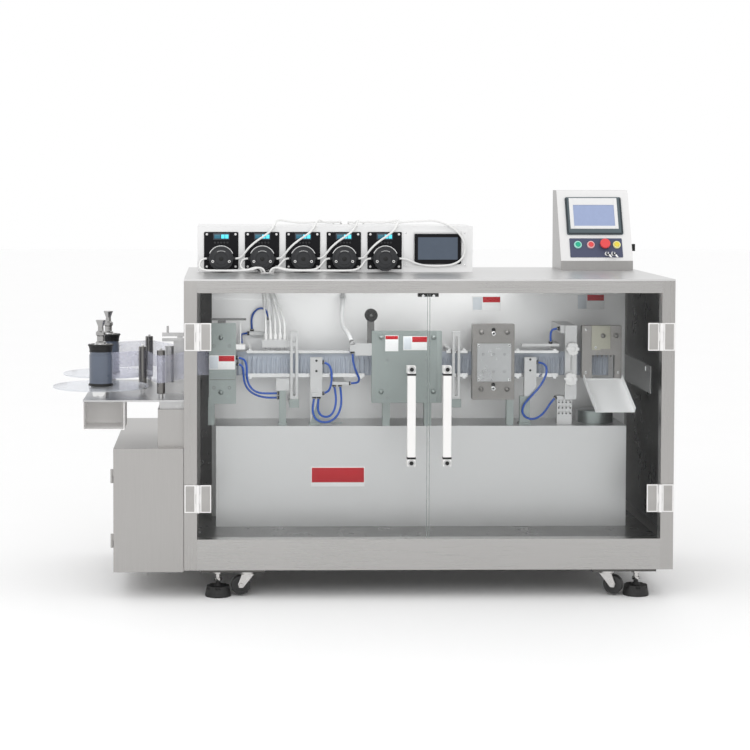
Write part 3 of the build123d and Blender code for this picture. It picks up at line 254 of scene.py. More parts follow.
finishes = {
    "postSteel": brushed("post_steel", tone(0.40, 0.025), 0.3, (6, 6, 0.12)),
    "railSteel": brushed("rail_steel", tone(0.42, 0.02), 0.28, (0.12, 6, 6)),
    "topSteel": brushed("top_steel", tone(0.63, 0.004), 0.34, (0.1, 5, 5), 0.06),
    "coverSteel": brushed("cover_steel", tone(0.59, 0.0), 0.42, (0.15, 5, 6), 0.05),
    "floorSteel": machined("floor_steel", tone(0.8, 0.0), 0.4, 0.25),
    "wallSteel": brushed("wall_steel", tone(0.76, 0.004), 0.5, (4, 4, 0.3), 0.05),
    "sideSteel": brushed("side_steel", tone(0.4, 0.025), 0.32, (6, 6, 0.12)),
    "consoleSteel": brushed("console_steel", tone(0.34, 0.02), 0.3, (6, 6, 0.2)),
    "consolePaint": moulded("console_face", tone(0.8, 0.005), 0.42, 0.0, 0.02),
    "chuteSteel": moulded("chute_sheet", tone(0.95, 0.0), 0.35, 0.0, 0.02),
    "darkSteel": machined("dark_steel", tone(0.16, 0.01), 0.35),
    "toolGrey": machined("tool_grey", (0.305, 0.34, 0.33, 1), 0.4),
    "exitGrey": machined("exit_grey", tone(0.28, 0.04), 0.4),
    "beige": moulded("beige_plate", (0.45, 0.44, 0.36, 1), 0.4),
    "rollerSteel": machined("roller_steel", tone(0.2, 0.03), 0.14, 1.0),
    "dieDark": machined("die_dark", tone(0.26, 0.04), 0.4),
    "inlay": machined("inlay_plate", tone(0.44, -0.01), 0.3),
    "satin": machined("satin_aluminium", tone(0.55, 0.0), 0.36),
    "bright": machined("bright_steel", tone(0.72, 0.0), 0.2, 1.0),
    "chrome": machined("chrome", tone(0.78, 0.0), 0.1, 1.0),
    "knobSteel": machined("knob_steel", tone(0.4, 0.01), 0.12, 1.0),
    "zinc": machined("zinc_plate", tone(0.6, 0.02), 0.3, 1.0),
    "hingeGrey": moulded("hinge_grey", tone(0.37, 0.03), 0.42, specular=0.3),
    "white": moulded("white_plastic", tone(0.8, 0.01), 0.35, 0.2, 0.03),
    "black": moulded("black_plastic", tone(0.012, 0.0), 0.45, 0.0, specular=0.3),
    "panelBlack": moulded("panel_black", (0.006, 0.006, 0.008, 1), 0.5, specular=0.15),
    "headGrey": moulded("head_grey", (0.022, 0.023, 0.026, 1), 0.4, specular=0.35),
    # Dark steel used as painted shade on the cabinet's inner faces and the frame's lowest parts
    "innerDark": machined("inner_painted_shade", tone(0.1, 0.03), 0.3, 1.0),
    "bezelDark": moulded("bezel_dark", (0.035, 0.045, 0.052, 1), 0.4, specular=0.3),
    "screenWhite": moulded("screen_white", tone(0.8, 0.0), 0.35, 0.2, 0.02),
    "screenSlate": glowing("screen_slate", (0.05, 0.07, 0.1, 1), 0.5, (0.045, 0.06, 0.085, 1)),
    "digitsDim": glowing("cyan_dim", (0.03, 0.2, 0.3, 1), 0.7, (0.0, 0.02, 0.03, 1)),
    "greenPale": moulded("green_ring", (0.42, 0.86, 0.74, 1), 0.3, 0.2),
    "redPale": moulded("red_ring", (0.9, 0.5, 0.5, 1), 0.3, 0.2),
    "yellowPale": moulded("yellow_ring", (0.92, 0.9, 0.42, 1), 0.3, 0.2),
    "labelPale": moulded("label_pale", (0.66, 0.7, 0.74, 1), 0.45),
    "casePaint": moulded("case_paint", tone(0.84, 0.0), 0.45, 0.0, 0.02),
    "slateBlue": moulded("slate_blue", (0.08, 0.09, 0.15, 1), 0.45, specular=0.3),
    "bezel": moulded("bezel_grey", (0.1, 0.13, 0.145, 1), 0.4, specular=0.3),
    "rubberBlack": rubber("rubber_black", tone(0.014, 0.0)),
    "tread": rubber("tread", tone(0.02, 0.0), 0.5),
    "green": moulded("green_cap", (0.0, 0.42, 0.25, 1), 0.3, 0.2),
    "red": moulded("red_cap", (0.78, 0.06, 0.065, 1), 0.35, 0.2),
    "yellow": moulded("yellow_cap", (0.85, 0.68, 0.06, 1), 0.3, 0.2),
    "labelRed": moulded("label_red", (0.5, 0.012, 0.02, 1), 0.5, specular=0.2),
    "labelWhite": moulded("label_white", tone(0.86, 0.0), 0.45, 0.0, 0.02),
    "blueTube": moulded("blue_tube", (0.004, 0.075, 0.42, 1), 0.3, 0.15, specular=0.4),
    "milkTube": film("milk_tube", (0.93, 0.93, 0.92, 1), 0.93, 0.3),
    "whiteHose": moulded("white_hose", tone(0.8, 0.0), 0.4),
    "doorPane": pane("door_pane", (0.975, 0.98, 0.98, 1), 0.3, 0.004),
    "paneEdge": film("pane_edge", (0.3, 0.34, 0.33, 1), 0.55, 0.2),
    "reelDisc": pane("reel_disc", (0.9, 0.91, 0.94, 1), 0.6, 0.2),
    "lilacFilm": film("lilac_film", (0.74, 0.75, 0.88, 1), 0.3),
    "woundFilm": film("wound_film", (0.2, 0.22, 0.28, 1), 0.85),
    "ampoule": film("ampoule_plastic", (0.5, 0.545, 0.62, 1), 0.72, 0.1),
    "coreBlue": moulded("core_blue", (0.1, 0.12, 0.16, 1), 0.3, 0.3),
    "motorBlue": moulded("motor_blue", (0.03, 0.06, 0.12, 1), 0.5),
    "screenBlue": glowing("screen_blue", (0.32, 0.39, 0.6, 1), 0.6, (0.16, 0.19, 0.28, 1)),
    "screenDark": glowing("screen_dark", (0.03, 0.05, 0.08, 1), 0.4, (0.01, 0.012, 0.016, 1)),
    "digits": glowing("cyan_display", (0.1, 0.75, 0.95, 1), 1.3, (0.0, 0.02, 0.03, 1)),
    "cream": moulded("cream_tray", tone(0.93, 0.015), 0.5, 0.0, 0.015),
}
print("materials made")


def dress(node, finish, *rules):
    # A CAD node takes one finish, and each rule's finish where its test of a face's middle and normal holds
    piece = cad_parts[node]
    mesh = piece.data
    mesh.materials.clear()
    names = [finish] + [rule[0] for rule in rules]
    for name in names:
        mesh.materials.append(finishes[name])
    for face in mesh.polygons:
        face.material_index = 0
        if rules:
            middle = toDrawing(face.center)
            for index, (_, test) in enumerate(rules, 1):
                if test(middle, face.normal):
                    face.material_index = index


# Places that several pieces share, in drawing mm
pumpRow = {"first": 132.0, "pitch": 157.0, "count": 5, "axis": 1208.0}
reelSpots = {"x": -305.0, "y": (110.0, 550.0)}
grommet = {"x": 308.0, "y": 440.0, "reach": 31.0}
towardsFront = (0, -1, 0)
upwards = (0, 0, 1)


def fromPump(p):
    # How far a place is from the nearest pump's axis
    half = pumpRow["pitch"] / 2
    across = (p.x - pumpRow["first"] + half) % pumpRow["pitch"] - half
    return math.hypot(across, p.z - pumpRow["axis"])


def fromUpright(p, x, y):
    # How far a place is from an upright axis
    return (p - Vector((x, y, p.z))).length


def fromReel(p):
    front, rear = reelSpots["y"]
    return fromUpright(p, reelSpots["x"], front if p.y < (front + rear) / 2 else rear)


dress(
    "cabinet_frame",
    "railSteel",
    ("postSteel", lambda p, n: (p.x < 47.5 or p.x > 1720.5) and p.z > 104),
    # Painted shade: the frame's lowest parts take the dark inner steel
    ("innerDark", lambda p, n: p.z < 103),
)
dress(
    "top_plate",
    "topSteel",
    ("black", lambda p, n: fromUpright(p, grommet["x"], grommet["y"]) < grommet["reach"] and p.z > 1148),
)
dress(
    "cabinet_panels",
    "postSteel",
    ("floorSteel", lambda p, n: p.z < 217),
    # Painted shade: the panels' inner faces take the dark inner steel
    ("innerDark", lambda p, n: 0.5 < p.x < 1767.5 and 1 < p.y < 849.5),
)
dress("mounting_plate", "wallSteel")
dress("base_cover", "coverSteel")
dress("levelling_feet", "rubberBlack", ("zinc", lambda p, n: p.z > 60))
dress("door_hardware", "hingeGrey", ("white", lambda p, n: p.y < -4), ("black", lambda p, n: p.y > 8.2))
dress("pump_case", "casePaint", ("satin", lambda p, n: p.y > 790.5))
dress("pump_drives", "panelBlack", ("motorBlue", lambda p, n: p.y > 490.5))
dress("pump_heads", "headGrey", ("bright", lambda p, n: p.z > 1228 and fromPump(p) > 46.8))
dress(
    "pump_touch_panel",
    "panelBlack",
    ("screenSlate", lambda p, n: abs(p.x - 964.5) < 76.6 and 1203 < p.z < 1290 and 483.5 < p.y < 485.5),
)
dress("console_case", "consoleSteel", ("consolePaint", lambda p, n: n.y < -0.5 and n.z > 0.2))
dress("console_screen", "bezel")
dress("button_plate", "slateBlue")
dress("side_cabinet", "sideSteel")
dress("side_cabinet_door", "sideSteel")
dress(
    "unwinder_table",
    "satin",
    ("cream", lambda p, n: p.z < 711.9 and p.x < -214),
    ("satin", lambda p, n: p.z > 719 and p.x > -90),
    ("chrome", lambda p, n: p.z > 719 and p.x <= -90),
)
dress("strip_rails", "bright")
dress(
    "station_plates",
    "toolGrey",
    ("dieDark", lambda p, n: 1069 < p.x < 1228),
    ("inlay", lambda p, n: 1086 < p.x < 1215 and p.y < 249.9 and abs(p.z - 830) < 72),
    ("exitGrey", lambda p, n: p.x > 1480),
    ("beige", lambda p, n: 1500 < p.x < 1553 and p.y < 268.5),
)
dress(
    "station_supports",
    "satin",
    ("white", lambda p, n: 1410 < p.x < 1470 and p.y < 256),
    ("white", lambda p, n: 187 < p.x < 223 and p.z > 877 and p.y < 301),
    ("darkSteel", lambda p, n: 675 < p.x < 705 and p.z > 903),
    ("darkSteel", lambda p, n: p.x < 110 or 118 < p.x < 228 and p.z > 975),
    ("toolGrey", lambda p, n: p.y < 350 and p.z < 690 and not 1390 < p.x < 1452),
)
dress("exit_chute", "chuteSteel", ("darkSteel", lambda p, n: p.x > 1685.5 and p.y < 472 and p.z > 738))
dress("drive_motor", "motorBlue", ("satin", lambda p, n: p.x > 410))
dress("cam_shaft", "bright")
for door in ("left_door", "right_door"):
    dress(door + "_glass", "doorPane")
    dress(
        door + "_fittings",
        "hingeGrey",
        ("white", lambda p, n: 780 < p.x < 980 and p.y < -0.01),
        ("bright", lambda p, n: 780 < p.x < 980 and p.y > 7.9),
        ("white", lambda p, n: p.y < -4),
    )
for reel in ("front_reel", "rear_reel"):
    dress(
        reel,
        "reelDisc",
        ("woundFilm", lambda p, n: 774 < p.z < 876 and fromReel(p) > 40.6),
        ("coreBlue", lambda p, n: fromReel(p) < 43 and p.z > 753),
        ("black", lambda p, n: p.z > 885.5),
        ("knobSteel", lambda p, n: p.z > 912.5),
    )
for index in (1, 2, 3):
    dress(f"guide_roller_{index}", "rollerSteel")
dress("tension_roller", "black")
for index in (1, 2, 3, 4):
    dress(f"caster_fork_{index}", "zinc")
    dress(f"caster_wheel_{index}", "tread")
for index in range(1, 6):
    dress(f"pump_rotor_{index}", "bright")
for cap, finish in (("start", "green"), ("halt", "red"), ("stop", "red"), ("reset", "yellow")):
    dress(cap + "_button", finish)
dress("main_switch", "black")
for tool in ("forming_mould", "sealing_mould", "stamping_mould", "cutting_punch"):
    dress(tool, "satin")
dress("filling_nozzles", "satin", ("white", lambda p, n: p.z > 912))
dress("strip_grippers", "bright")
dress("ampoule_strip", "ampoule", ("lilacFilm", lambda p, n: p.x < 189))
print("frame dressed")


# Tubes: the same points as in the CAD, in drawing mm. The first five run behind the pumps, the last five
# into the nozzles.
pumpRoutes = (
    (
        (186.5, 464, 1208), (201.5, 464, 1208), (217.5, 459, 1223), (237.5, 458, 1250),
        (266.5, 462, 1275), (296.5, 468, 1294), (324.5, 476, 1315), (338.5, 485, 1341),
        (347.5, 510, 1356), (394, 561.5, 1347), (445.1, 618.2, 1340), (496.3, 674.9, 1342),
        (547.5, 731.5, 1340), (580, 792, 1342), (580, 805, 1322), (580, 805, 1297),
    ),
    (
        (343.5, 464, 1208), (358.5, 464, 1208), (374.5, 459, 1223), (394.5, 458, 1250),
        (423.5, 462, 1275), (453.5, 468, 1294), (481.5, 476, 1315), (495.5, 485, 1341),
        (504.5, 510, 1356), (525.6, 561.5, 1347), (548.8, 618.2, 1340), (572, 674.9, 1342),
        (595.2, 731.5, 1340), (610, 792, 1342), (610, 805, 1322), (610, 805, 1297),
    ),
    (
        (500.5, 464, 1208), (515.5, 464, 1208), (531.5, 459, 1223), (551.5, 458, 1250),
        (580.5, 462, 1275), (610.5, 468, 1294), (638.5, 476, 1315), (652.5, 485, 1341),
        (661.5, 510, 1356), (657.2, 561.5, 1347), (652.5, 618.2, 1340), (647.7, 674.9, 1342),
        (643, 731.5, 1340), (640, 792, 1342), (640, 805, 1322), (640, 805, 1297),
    ),
    (
        (657.5, 464, 1208), (672.5, 464, 1208), (688.5, 459, 1223), (708.5, 458, 1250),
        (737.5, 462, 1275), (767.5, 468, 1294), (795.5, 476, 1315), (809.5, 485, 1341),
        (818.5, 510, 1356), (788.8, 561.5, 1347), (756.1, 618.2, 1340), (723.5, 674.9, 1342),
        (690.8, 731.5, 1340), (670, 792, 1342), (670, 805, 1322), (670, 805, 1297),
    ),
    (
        (814.5, 464, 1208), (833.5, 464, 1208), (860.5, 468, 1197), (892.5, 477, 1184),
        (938.5, 479, 1178), (984.5, 479, 1179), (1026.5, 478, 1185), (1056.5, 476, 1204),
        (1068.5, 474, 1235), (1065.5, 472, 1269), (1049.5, 472, 1300), (1021.5, 474, 1325),
        (985.5, 482, 1344), (948.5, 498, 1354), (906.5, 530, 1350), (865.2, 577.8, 1347),
        (819.8, 630.5, 1340), (774.3, 683.1, 1342), (728.9, 735.7, 1340), (700, 792, 1342),
        (700, 805, 1322), (700, 805, 1297),
    ),
    (
        (77.5, 464, 1208), (62.5, 464, 1208), (49.5, 457, 1192), (49.5, 435, 1173), (71.5, 421, 1164),
        (130, 422, 1164), (188.5, 421, 1164), (247, 421, 1166), (277, 422, 1178), (298, 422, 1166),
        (299, 422, 1134), (300.9, 412.8, 1088), (308.5, 376, 1034), (315.3, 342.9, 992), (318, 330, 962),
        (318, 330, 925),
    ),
    (
        (234.5, 464, 1208), (219.5, 464, 1208), (206.5, 457, 1192), (206.5, 445, 1173),
        (228.5, 431, 1164), (266.5, 432, 1178), (287.5, 432, 1166), (288.5, 432, 1134),
        (289.6, 421.8, 1088), (294.2, 381, 1034), (298.4, 344.3, 992), (300, 330, 962), (300, 330, 925),
    ),
    (
        (391.5, 464, 1208), (376.5, 464, 1208), (363.5, 457, 1192), (348.5, 450, 1176),
        (333.5, 449, 1166), (321.5, 450, 1152), (316, 450, 1126), (318, 438, 1088), (326, 390, 1034),
        (333.2, 346.8, 992), (336, 330, 962), (336, 330, 925),
    ),
    (
        (548.5, 464, 1208), (533.5, 464, 1208), (520.5, 457, 1192), (504.5, 445, 1173),
        (476.5, 431, 1164), (379.5, 431, 1166), (349.5, 432, 1178), (328.5, 432, 1166),
        (327.5, 432, 1134), (331.9, 421.8, 1088), (349.8, 381, 1034), (365.8, 344.3, 992),
        (372, 330, 962), (372, 330, 925),
    ),
    (
        (705.5, 464, 1208), (690.5, 464, 1208), (677.5, 457, 1192), (661.5, 435, 1173),
        (633.5, 421, 1164), (567.4, 422, 1164), (501.2, 421, 1164), (435.1, 422, 1164), (369, 421, 1166),
        (339, 422, 1178), (318, 422, 1166), (317, 422, 1134), (320.7, 412.8, 1088), (335.5, 376, 1034),
        (348.8, 342.9, 992), (354, 330, 962), (354, 330, 925),
    ),
)
airRoutes = (
    (
        (197, 268, 846), (212, 267, 845), (224, 268, 833), (229, 270, 806), (228, 272, 776),
        (234, 276, 748), (250, 281, 724), (276, 285, 712), (306, 288, 710), (342, 290, 711),
    ),
    (
        (198, 270, 822), (208, 270, 819), (215, 272, 806), (216, 275, 782), (219, 279, 754),
        (231, 284, 728), (254, 289, 708), (284, 292, 697), (314, 294, 693), (342, 295, 694),
    ),
    (
        (250, 455, 938), (247, 454, 964), (250, 452, 990), (264, 450, 1012), (286, 449, 1021),
        (306, 451, 1010), (314, 455, 982),
    ),
    (
        (212, 308, 888), (212, 336, 891), (210, 368, 899), (208, 400, 911), (210, 430, 920),
        (218, 449, 922), (232, 455, 922),
    ),
    (
        (519, 290, 826), (534, 288, 821), (543, 286, 806), (547, 285, 780), (546, 285, 752),
        (540, 286, 728), (532, 288, 716), (519.5, 290, 712),
    ),
    (
        (497, 273, 692), (494, 271, 672), (494, 270, 648), (506, 271, 628), (529, 274, 622),
        (548, 280, 632), (560, 288, 656), (564, 296, 684), (562, 303, 710), (558, 308, 733),
    ),
    (
        (480, 273, 692), (476, 270, 670), (474, 268, 645), (482, 267, 620), (502, 268, 606),
        (530, 272, 603), (556, 279, 614), (574, 288, 636), (583, 296, 664), (584, 303, 698),
        (580, 308, 733),
    ),
    (
        (622, 251, 864), (624, 255, 838), (630, 262, 812), (640, 272, 788), (650, 284, 768),
        (648, 297, 752), (636, 305, 747), (620, 308, 746),
    ),
    (
        (1322, 290, 826), (1340, 287, 824), (1353, 282, 810), (1352, 276, 786), (1340, 272, 760),
        (1324, 270, 735), (1304, 270, 712), (1283, 270, 690), (1264, 270, 666), (1259, 270, 640),
        (1276, 272, 618), (1304, 275, 613), (1332, 279, 626), (1354, 284, 650), (1370, 289, 675),
        (1385, 292, 690),
    ),
    ((1394, 300, 952), (1380, 301, 951), (1372, 302, 941), (1370, 303, 925), (1371, 304, 904)),
)
hoseRoute = (
    (597, 450, 1062), (596, 426, 1058), (594, 406, 1042), (591, 394, 1018), (589, 384, 992),
    (590, 368, 966), (596, 342, 949), (606, 312, 937), (613, 286, 925), (619, 259, 908),
)


tubeFacts = {"diameter": 0.008, "hose": 0.016, "steps": 10, "roundness": 5}
# Heights on the tubes into the nozzles, and the nozzles' node
nozzleBend = {"high": 1060.0, "low": 935.0, "body": "filling_nozzles"}


def tubeCurve(name, route, diameter, finish, node, bends=False):
    points = [toFrame(*point) for point in route]
    curve = bpy.data.curves.new(name, "CURVE")
    curve.dimensions = "3D"
    curve.resolution_u = tubeFacts["steps"]
    spline = curve.splines.new("NURBS")
    spline.points.add(len(points) - 1)
    for spot, point in zip(spline.points, points):
        spot.co = (*point, 1.0)
    spline.order_u = 3
    spline.use_endpoint_u = True
    piece = bpy.data.objects.new(name, curve)
    bpy.context.scene.collection.objects.link(piece)
    bpy.context.view_layer.update()
    line = piece.to_mesh()
    piece.to_mesh_clear()
    curve.bevel_depth = diameter / 2
    curve.bevel_resolution = tubeFacts["roundness"]
    curve.use_fill_caps = True
    curve.materials.append(finishes[finish])
    if bends:
        bpy.context.view_layer.update()
        graph = bpy.context.evaluated_depsgraph_get()
        mesh = bpy.data.meshes.new_from_object(piece.evaluated_get(graph))
        bpy.data.objects.remove(piece)
        piece = bpy.data.objects.new(name, mesh)
        bpy.context.scene.collection.objects.link(piece)
        x, y = route[-1][:2]
        high, low = toFrame(x, y, nozzleBend["high"]), toFrame(x, y, nozzleBend["low"])
        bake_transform(piece)
    else:
        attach(piece, "machine")
    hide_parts(node)


for index, route in enumerate(pumpRoutes):
    bends = index >= pumpRow["count"]
    tubeCurve(f"pump_tube_{index + 1}", route, tubeFacts["diameter"], "milkTube", "pump_tubes", bends)
for index, route in enumerate(airRoutes):
    tubeCurve(f"air_tube_{index + 1}", route, tubeFacts["diameter"], "blueTube", "air_tubes")
tubeCurve("white_hose", hoseRoute, tubeFacts["hose"], "whiteHose", "air_tubes")
print("tubes laid")


# Mesh pieces: forms in drawing mm, gathered into one mesh each
class Shape:
    def __init__(self, name, body, slot, place=None):
        self.name = name
        self.body = body
        self.slot = slot
        self.place = place or Matrix.Identity(4)
        self.mesh = bmesh.new()
        self.looks = []

    def take(self, part, finish):
        if finish not in self.looks:
            self.looks.append(finish)
        for face in part.faces:
            face.material_index = self.looks.index(finish)
            face.smooth = True
        bmesh.ops.transform(part, matrix=self.place, verts=part.verts)
        scratch = bpy.data.meshes.new("scratch")
        part.to_mesh(scratch)
        part.free()
        self.mesh.from_mesh(scratch)
        bpy.data.meshes.remove(scratch)

    def slab(self, x, y, z, radius, finish):
        # A block with rounded edges
        part = bmesh.new()
        bmesh.ops.create_cube(part, size=1.0)
        size = [high - low for low, high in (x, y, z)]
        middle = [(low + high) / 2 for low, high in (x, y, z)]
        place = Matrix.Translation(middle) @ Matrix.Diagonal((*size, 1))
        bmesh.ops.transform(part, matrix=place, verts=part.verts)
        radius = min(radius, min(size) * 0.45)
        bmesh.ops.bevel(part, geom=part.edges[:], offset=radius, segments=3, profile=0.5, affect="EDGES")
        self.take(part, finish)

    def turned(self, start, aim, outline, finish, sides=28):
        # An outline of (radius, height) pairs turned about the line from start along aim
        part = bmesh.new()
        rings = []
        for radius, height in outline:
            if radius < 0.01:
                rings.append([part.verts.new((0, 0, height))])
                continue
            turns = [2 * math.pi * step / sides for step in range(sides)]
            spots = [(radius * math.cos(angle), radius * math.sin(angle), height) for angle in turns]
            rings.append([part.verts.new(spot) for spot in spots])
        for low, high in zip(rings, rings[1:]):
            for step in range(max(len(low), len(high))):
                after = (step + 1) % sides
                corners = [low[step % len(low)], low[after % len(low)]]
                corners += [high[after % len(high)], high[step % len(high)]]
                single = [corner for index, corner in enumerate(corners) if corner not in corners[:index]]
                part.faces.new(single)
        bmesh.ops.recalc_face_normals(part, faces=part.faces)
        turn = Vector(aim).to_track_quat("Z", "Y").to_matrix().to_4x4()
        bmesh.ops.transform(part, matrix=Matrix.Translation(start) @ turn, verts=part.verts)
        self.take(part, finish)

    def made(self):
        toMetres = Matrix.Translation(toFrame(0, 0, 0)) @ Matrix.Scale(0.001, 4)
        bmesh.ops.transform(self.mesh, matrix=toMetres, verts=self.mesh.verts)
        data = bpy.data.meshes.new(self.name)
        self.mesh.to_mesh(data)
        self.mesh.free()
        for finish in self.looks:
            data.materials.append(finishes[finish])
        data.set_sharp_from_angle(angle=math.radians(32))
        piece = bpy.data.objects.new(self.name, data)
        bpy.context.scene.collection.objects.link(piece)
        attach(piece, self.body)


screwForms = {
    "cap": ((0, 0), (1, 0), (1, 0.85), (0.86, 1), (0.5, 1), (0.46, 0.45), (0, 0.45)),
    "round": ((0, 0), (1, 0), (0.96, 0.35), (0.8, 0.7), (0.45, 0.95), (0, 1)),
    "dimple": ((0, 0.02), (0.7, 0.02), (0.72, 0.3), (1, 0.3), (1.06, 0)),
}


def screw(shape, x, y, z, radius, height, finish, form, aim=towardsFront):
    outline = [(radius * wide, height * high) for wide, high in screwForms[form]]
    shape.turned((x, y, z), aim, outline, finish)
    if form == "cap":
        # The hex socket is a black hexagon on the recess floor: painted shade of the hole
        socket = [(0, height * 0.47), (radius * 0.45, height * 0.47)]
        shape.turned((x, y, z), aim, socket, "black", 6)


# Peristaltic pumps: face plates with a display, screws and a head each
pumpFace = {
    "front": 487.0,
    "display": ((-31, 32), (1279, 1304)),
    "digitHeights": (1284, 1299),
    "digitFields": ((-26, 22, "digitsDim"), (0, 13, "digits"), (15, 13, "digits")),
    "keyCount": 5,
    "keyFirst": -24.0,
    "keyPitch": 12.0,
    "keyHeight": 1268.0,
    "keyForm": ((0, 1.6), (3.2, 1.6), (4.0, 1.1), (4.2, 0)),
    "screws": ((-55, 1300), (55, 1300), (-55, 1176), (55, 1176)),
}
pumpCover = {
    "front": 441.0,
    "disc": ((0, 2.2), (22, 2.2), (23, 1.4), (25, 1.4), (26, 2.6), (36, 2.6), (38.5, 1.2), (39, 0)),
    "cap": ((0, 1.2), (7, 1.2), (8.4, 0.6), (8.6, 0)),
    "screws": (-32, 31),
    "screwDrop": 10.0,
    "markCount": 9,
    "markFirst": 62.0,
    "markPitch": 7.0,
    "markReach": 30.5,
    "mark": ((0, 0.7), (1.3, 0.6), (1.6, 0)),
}
hatchFacts = {
    "y": (488.4, 490.0),
    "sides": (((833, 872), (1174, 1315)), ((1057, 1078), (1174, 1315))),
    "ends": (((872, 1057), (1305, 1315)), ((872, 1057), (1174, 1183))),
    "screws": ((842, 1306), (1069, 1306), (842, 1182), (1069, 1182)),
}


def pumpFacePlate(number, middle):
    facts = pumpFace
    front = facts["front"]
    shape = Shape(f"pump_face_{number}", "machine", "pump_drives")
    across, heights = facts["display"]
    shape.slab((middle + across[0], middle + across[1]), (front - 1.2, front), heights, 1.0, "screenDark")
    for left, width, finish in facts["digitFields"]:
        ends = (middle + left, middle + left + width)
        shape.slab(ends, (front - 1.8, front - 1.1), facts["digitHeights"], 0.5, finish)
    for step in range(facts["keyCount"]):
        x = middle + facts["keyFirst"] + step * facts["keyPitch"]
        shape.turned((x, front, facts["keyHeight"]), towardsFront, facts["keyForm"], "headGrey", 20)
    for dx, z in facts["screws"]:
        screw(shape, middle + dx, front, z, 4.6, 2.4, "white", "round")
    shape.made()


def pumpHeadCover(number, middle):
    facts = pumpCover
    front = facts["front"]
    axis = pumpRow["axis"]
    shape = Shape(f"pump_cover_{number}", "machine", "pump_heads")
    shape.turned((middle, front, axis), towardsFront, facts["disc"], "headGrey", 48)
    shape.turned((middle, front - 2.1, axis), towardsFront, facts["cap"], "black", 32)
    for dx in facts["screws"]:
        screw(shape, middle + dx, front + 0.2, axis - facts["screwDrop"], 5.2, 4.4, "white", "cap")
    for step in range(facts["markCount"]):
        angle = math.radians(facts["markFirst"] + step * facts["markPitch"])
        x = middle + facts["markReach"] * math.cos(angle)
        z = axis + facts["markReach"] * math.sin(angle)
        shape.turned((x, front - 2.4, z), towardsFront, facts["mark"], "satin", 8)
    shape.made()


def pumpDetails():
    for index in range(pumpRow["count"]):
        middle = pumpRow["first"] + index * pumpRow["pitch"]
        pumpFacePlate(index + 1, middle)
        pumpHeadCover(index + 1, middle)
    hatch = Shape("panel_hatch", "machine", "pump_case")
    for x, z in hatchFacts["sides"] + hatchFacts["ends"]:
        hatch.slab(x, hatchFacts["y"], z, 0.7, "casePaint")
    for x, z in hatchFacts["screws"]:
        screw(hatch, x, hatchFacts["y"][0], z, 3.6, 1.8, "bright", "round")
    hatch.made()


# Console: screen surround, button rings and keys, built in the plane of its sloping face
consoleFace = {
    "left": 1464.0,
    "front": 620.0,
    "low": 1192.0,
    "normal": (0, -0.9165, 0.3999),
    "width": 283.0,
}
screenFacts = {
    "low": 109.0,
    "sides": (((-96, -81), (24, 155)), ((81, 94), (24, 155))),
    "ends": (((-81, 81), (24, 36.5)), ((-81, 81), (125.5, 155))),
    "display": ((-81.3, 81.3), (36.2, 125.8)),
    "bezel": (((-111, -104), (4, 155)), ((104, 111), (4, 155)), ((-104, 104), (1, 7))),
}
buttonFacts = {
    "row": 66.0,
    "collars": ((70.0, "greenPale"), (121.0, "redPale"), (223.0, "yellowPale")),
    "collar": ((10.4, 7.0), (10.6, 8.6), (12.4, 9.0), (14.4, 7.8), (15.2, 6.0), (15.4, 2.2)),
    "stop": 175.0,
    "stopRing": ((10.6, 6.8), (14.2, 7.4), (15.0, 6.6), (15.6, 2.2)),
    "locks": (181.0, 206.0),
    "lockRow": 27.0,
    "barrel": ((0, 8.4), (5, 8.4), (5.4, 8.9), (8.4, 8.9), (9.2, 7.6), (9.4, 2.2)),
    "grip": ((0, 0), (3.4, 0), (3.4, 9), (4.6, 10), (4.6, 19), (3.2, 21), (0, 21)),
    "gripAim": (0.35, -0.6, 1),
    "blade": ((0, -6), (3.6, -6), (4.4, 4), (3.4, 15), (0, 17)),
    "bladeAim": (0.62, -0.78, -0.1),
}


def consolePlace():
    facts = consoleFace
    out = Vector(facts["normal"]).normalized()
    across = Vector((1, 0, 0))
    up = out.cross(across)
    turn = Matrix((across, up, out)).transposed().to_4x4()
    return Matrix.Translation((facts["left"], facts["front"], facts["low"])) @ turn


def screenDetails():
    facts = screenFacts
    middle = consoleFace["width"] / 2
    low = facts["low"]
    slabs = [(spot, (5.5, 6.9), 0.5, "screenWhite") for spot in facts["sides"] + facts["ends"]]
    slabs += [(facts["display"], (4.0, 4.8), 0.3, "screenBlue")]
    slabs += [(spot, (5.8, 7.2), 0.7, "bezelDark") for spot in facts["bezel"]]
    screen = Shape("screen_face", "machine", "console_screen", consolePlace())
    for (x, y), z, radius, finish in slabs:
        screen.slab((middle + x[0], middle + x[1]), (low + y[0], low + y[1]), z, radius, finish)
    screen.made()


def buttonDetails():
    facts = buttonFacts
    rings = Shape("button_rings", "machine", "button_plate", consolePlace())
    for x, finish in facts["collars"]:
        rings.turned((x, facts["row"], 0), upwards, facts["collar"], finish, 40)
    rings.turned((facts["stop"], facts["row"], 0), upwards, facts["stopRing"], "black", 40)
    y = facts["lockRow"]
    for x in facts["locks"]:
        rings.turned((x, y, 0), upwards, facts["barrel"], "chrome", 32)
        rings.turned((x, y, 8), facts["gripAim"], facts["grip"], "black", 12)
        rings.turned((x + 5, y - 9, 22), facts["bladeAim"], facts["blade"], "chrome", 14)
    rings.made()


# Plain coloured plates: name, width, front, height and the pale part's share
plainPlates = (
    ("forming_plate_tag", (88, 184), 262.0, (803, 856), 0.36),
    ("sealing_plate_tag_1", (743, 792), 240.0, (873, 932), 0.0),
    ("sealing_plate_tag_2", (810, 900), 240.0, (877, 929), 0.36),
    ("wall_tag_1", (1097, 1205), 470.0, (1008, 1062), 0.36),
    ("wall_tag_2", (1501, 1605), 470.0, (1012, 1070), 0.36),
)
coverBand = (
    ((468, 669), (246.0, 247.0), (366, 440), 0.4, "labelWhite"),
    ((471, 666), (245.6, 246.1), (382, 437), 0.2, "labelRed"),
)


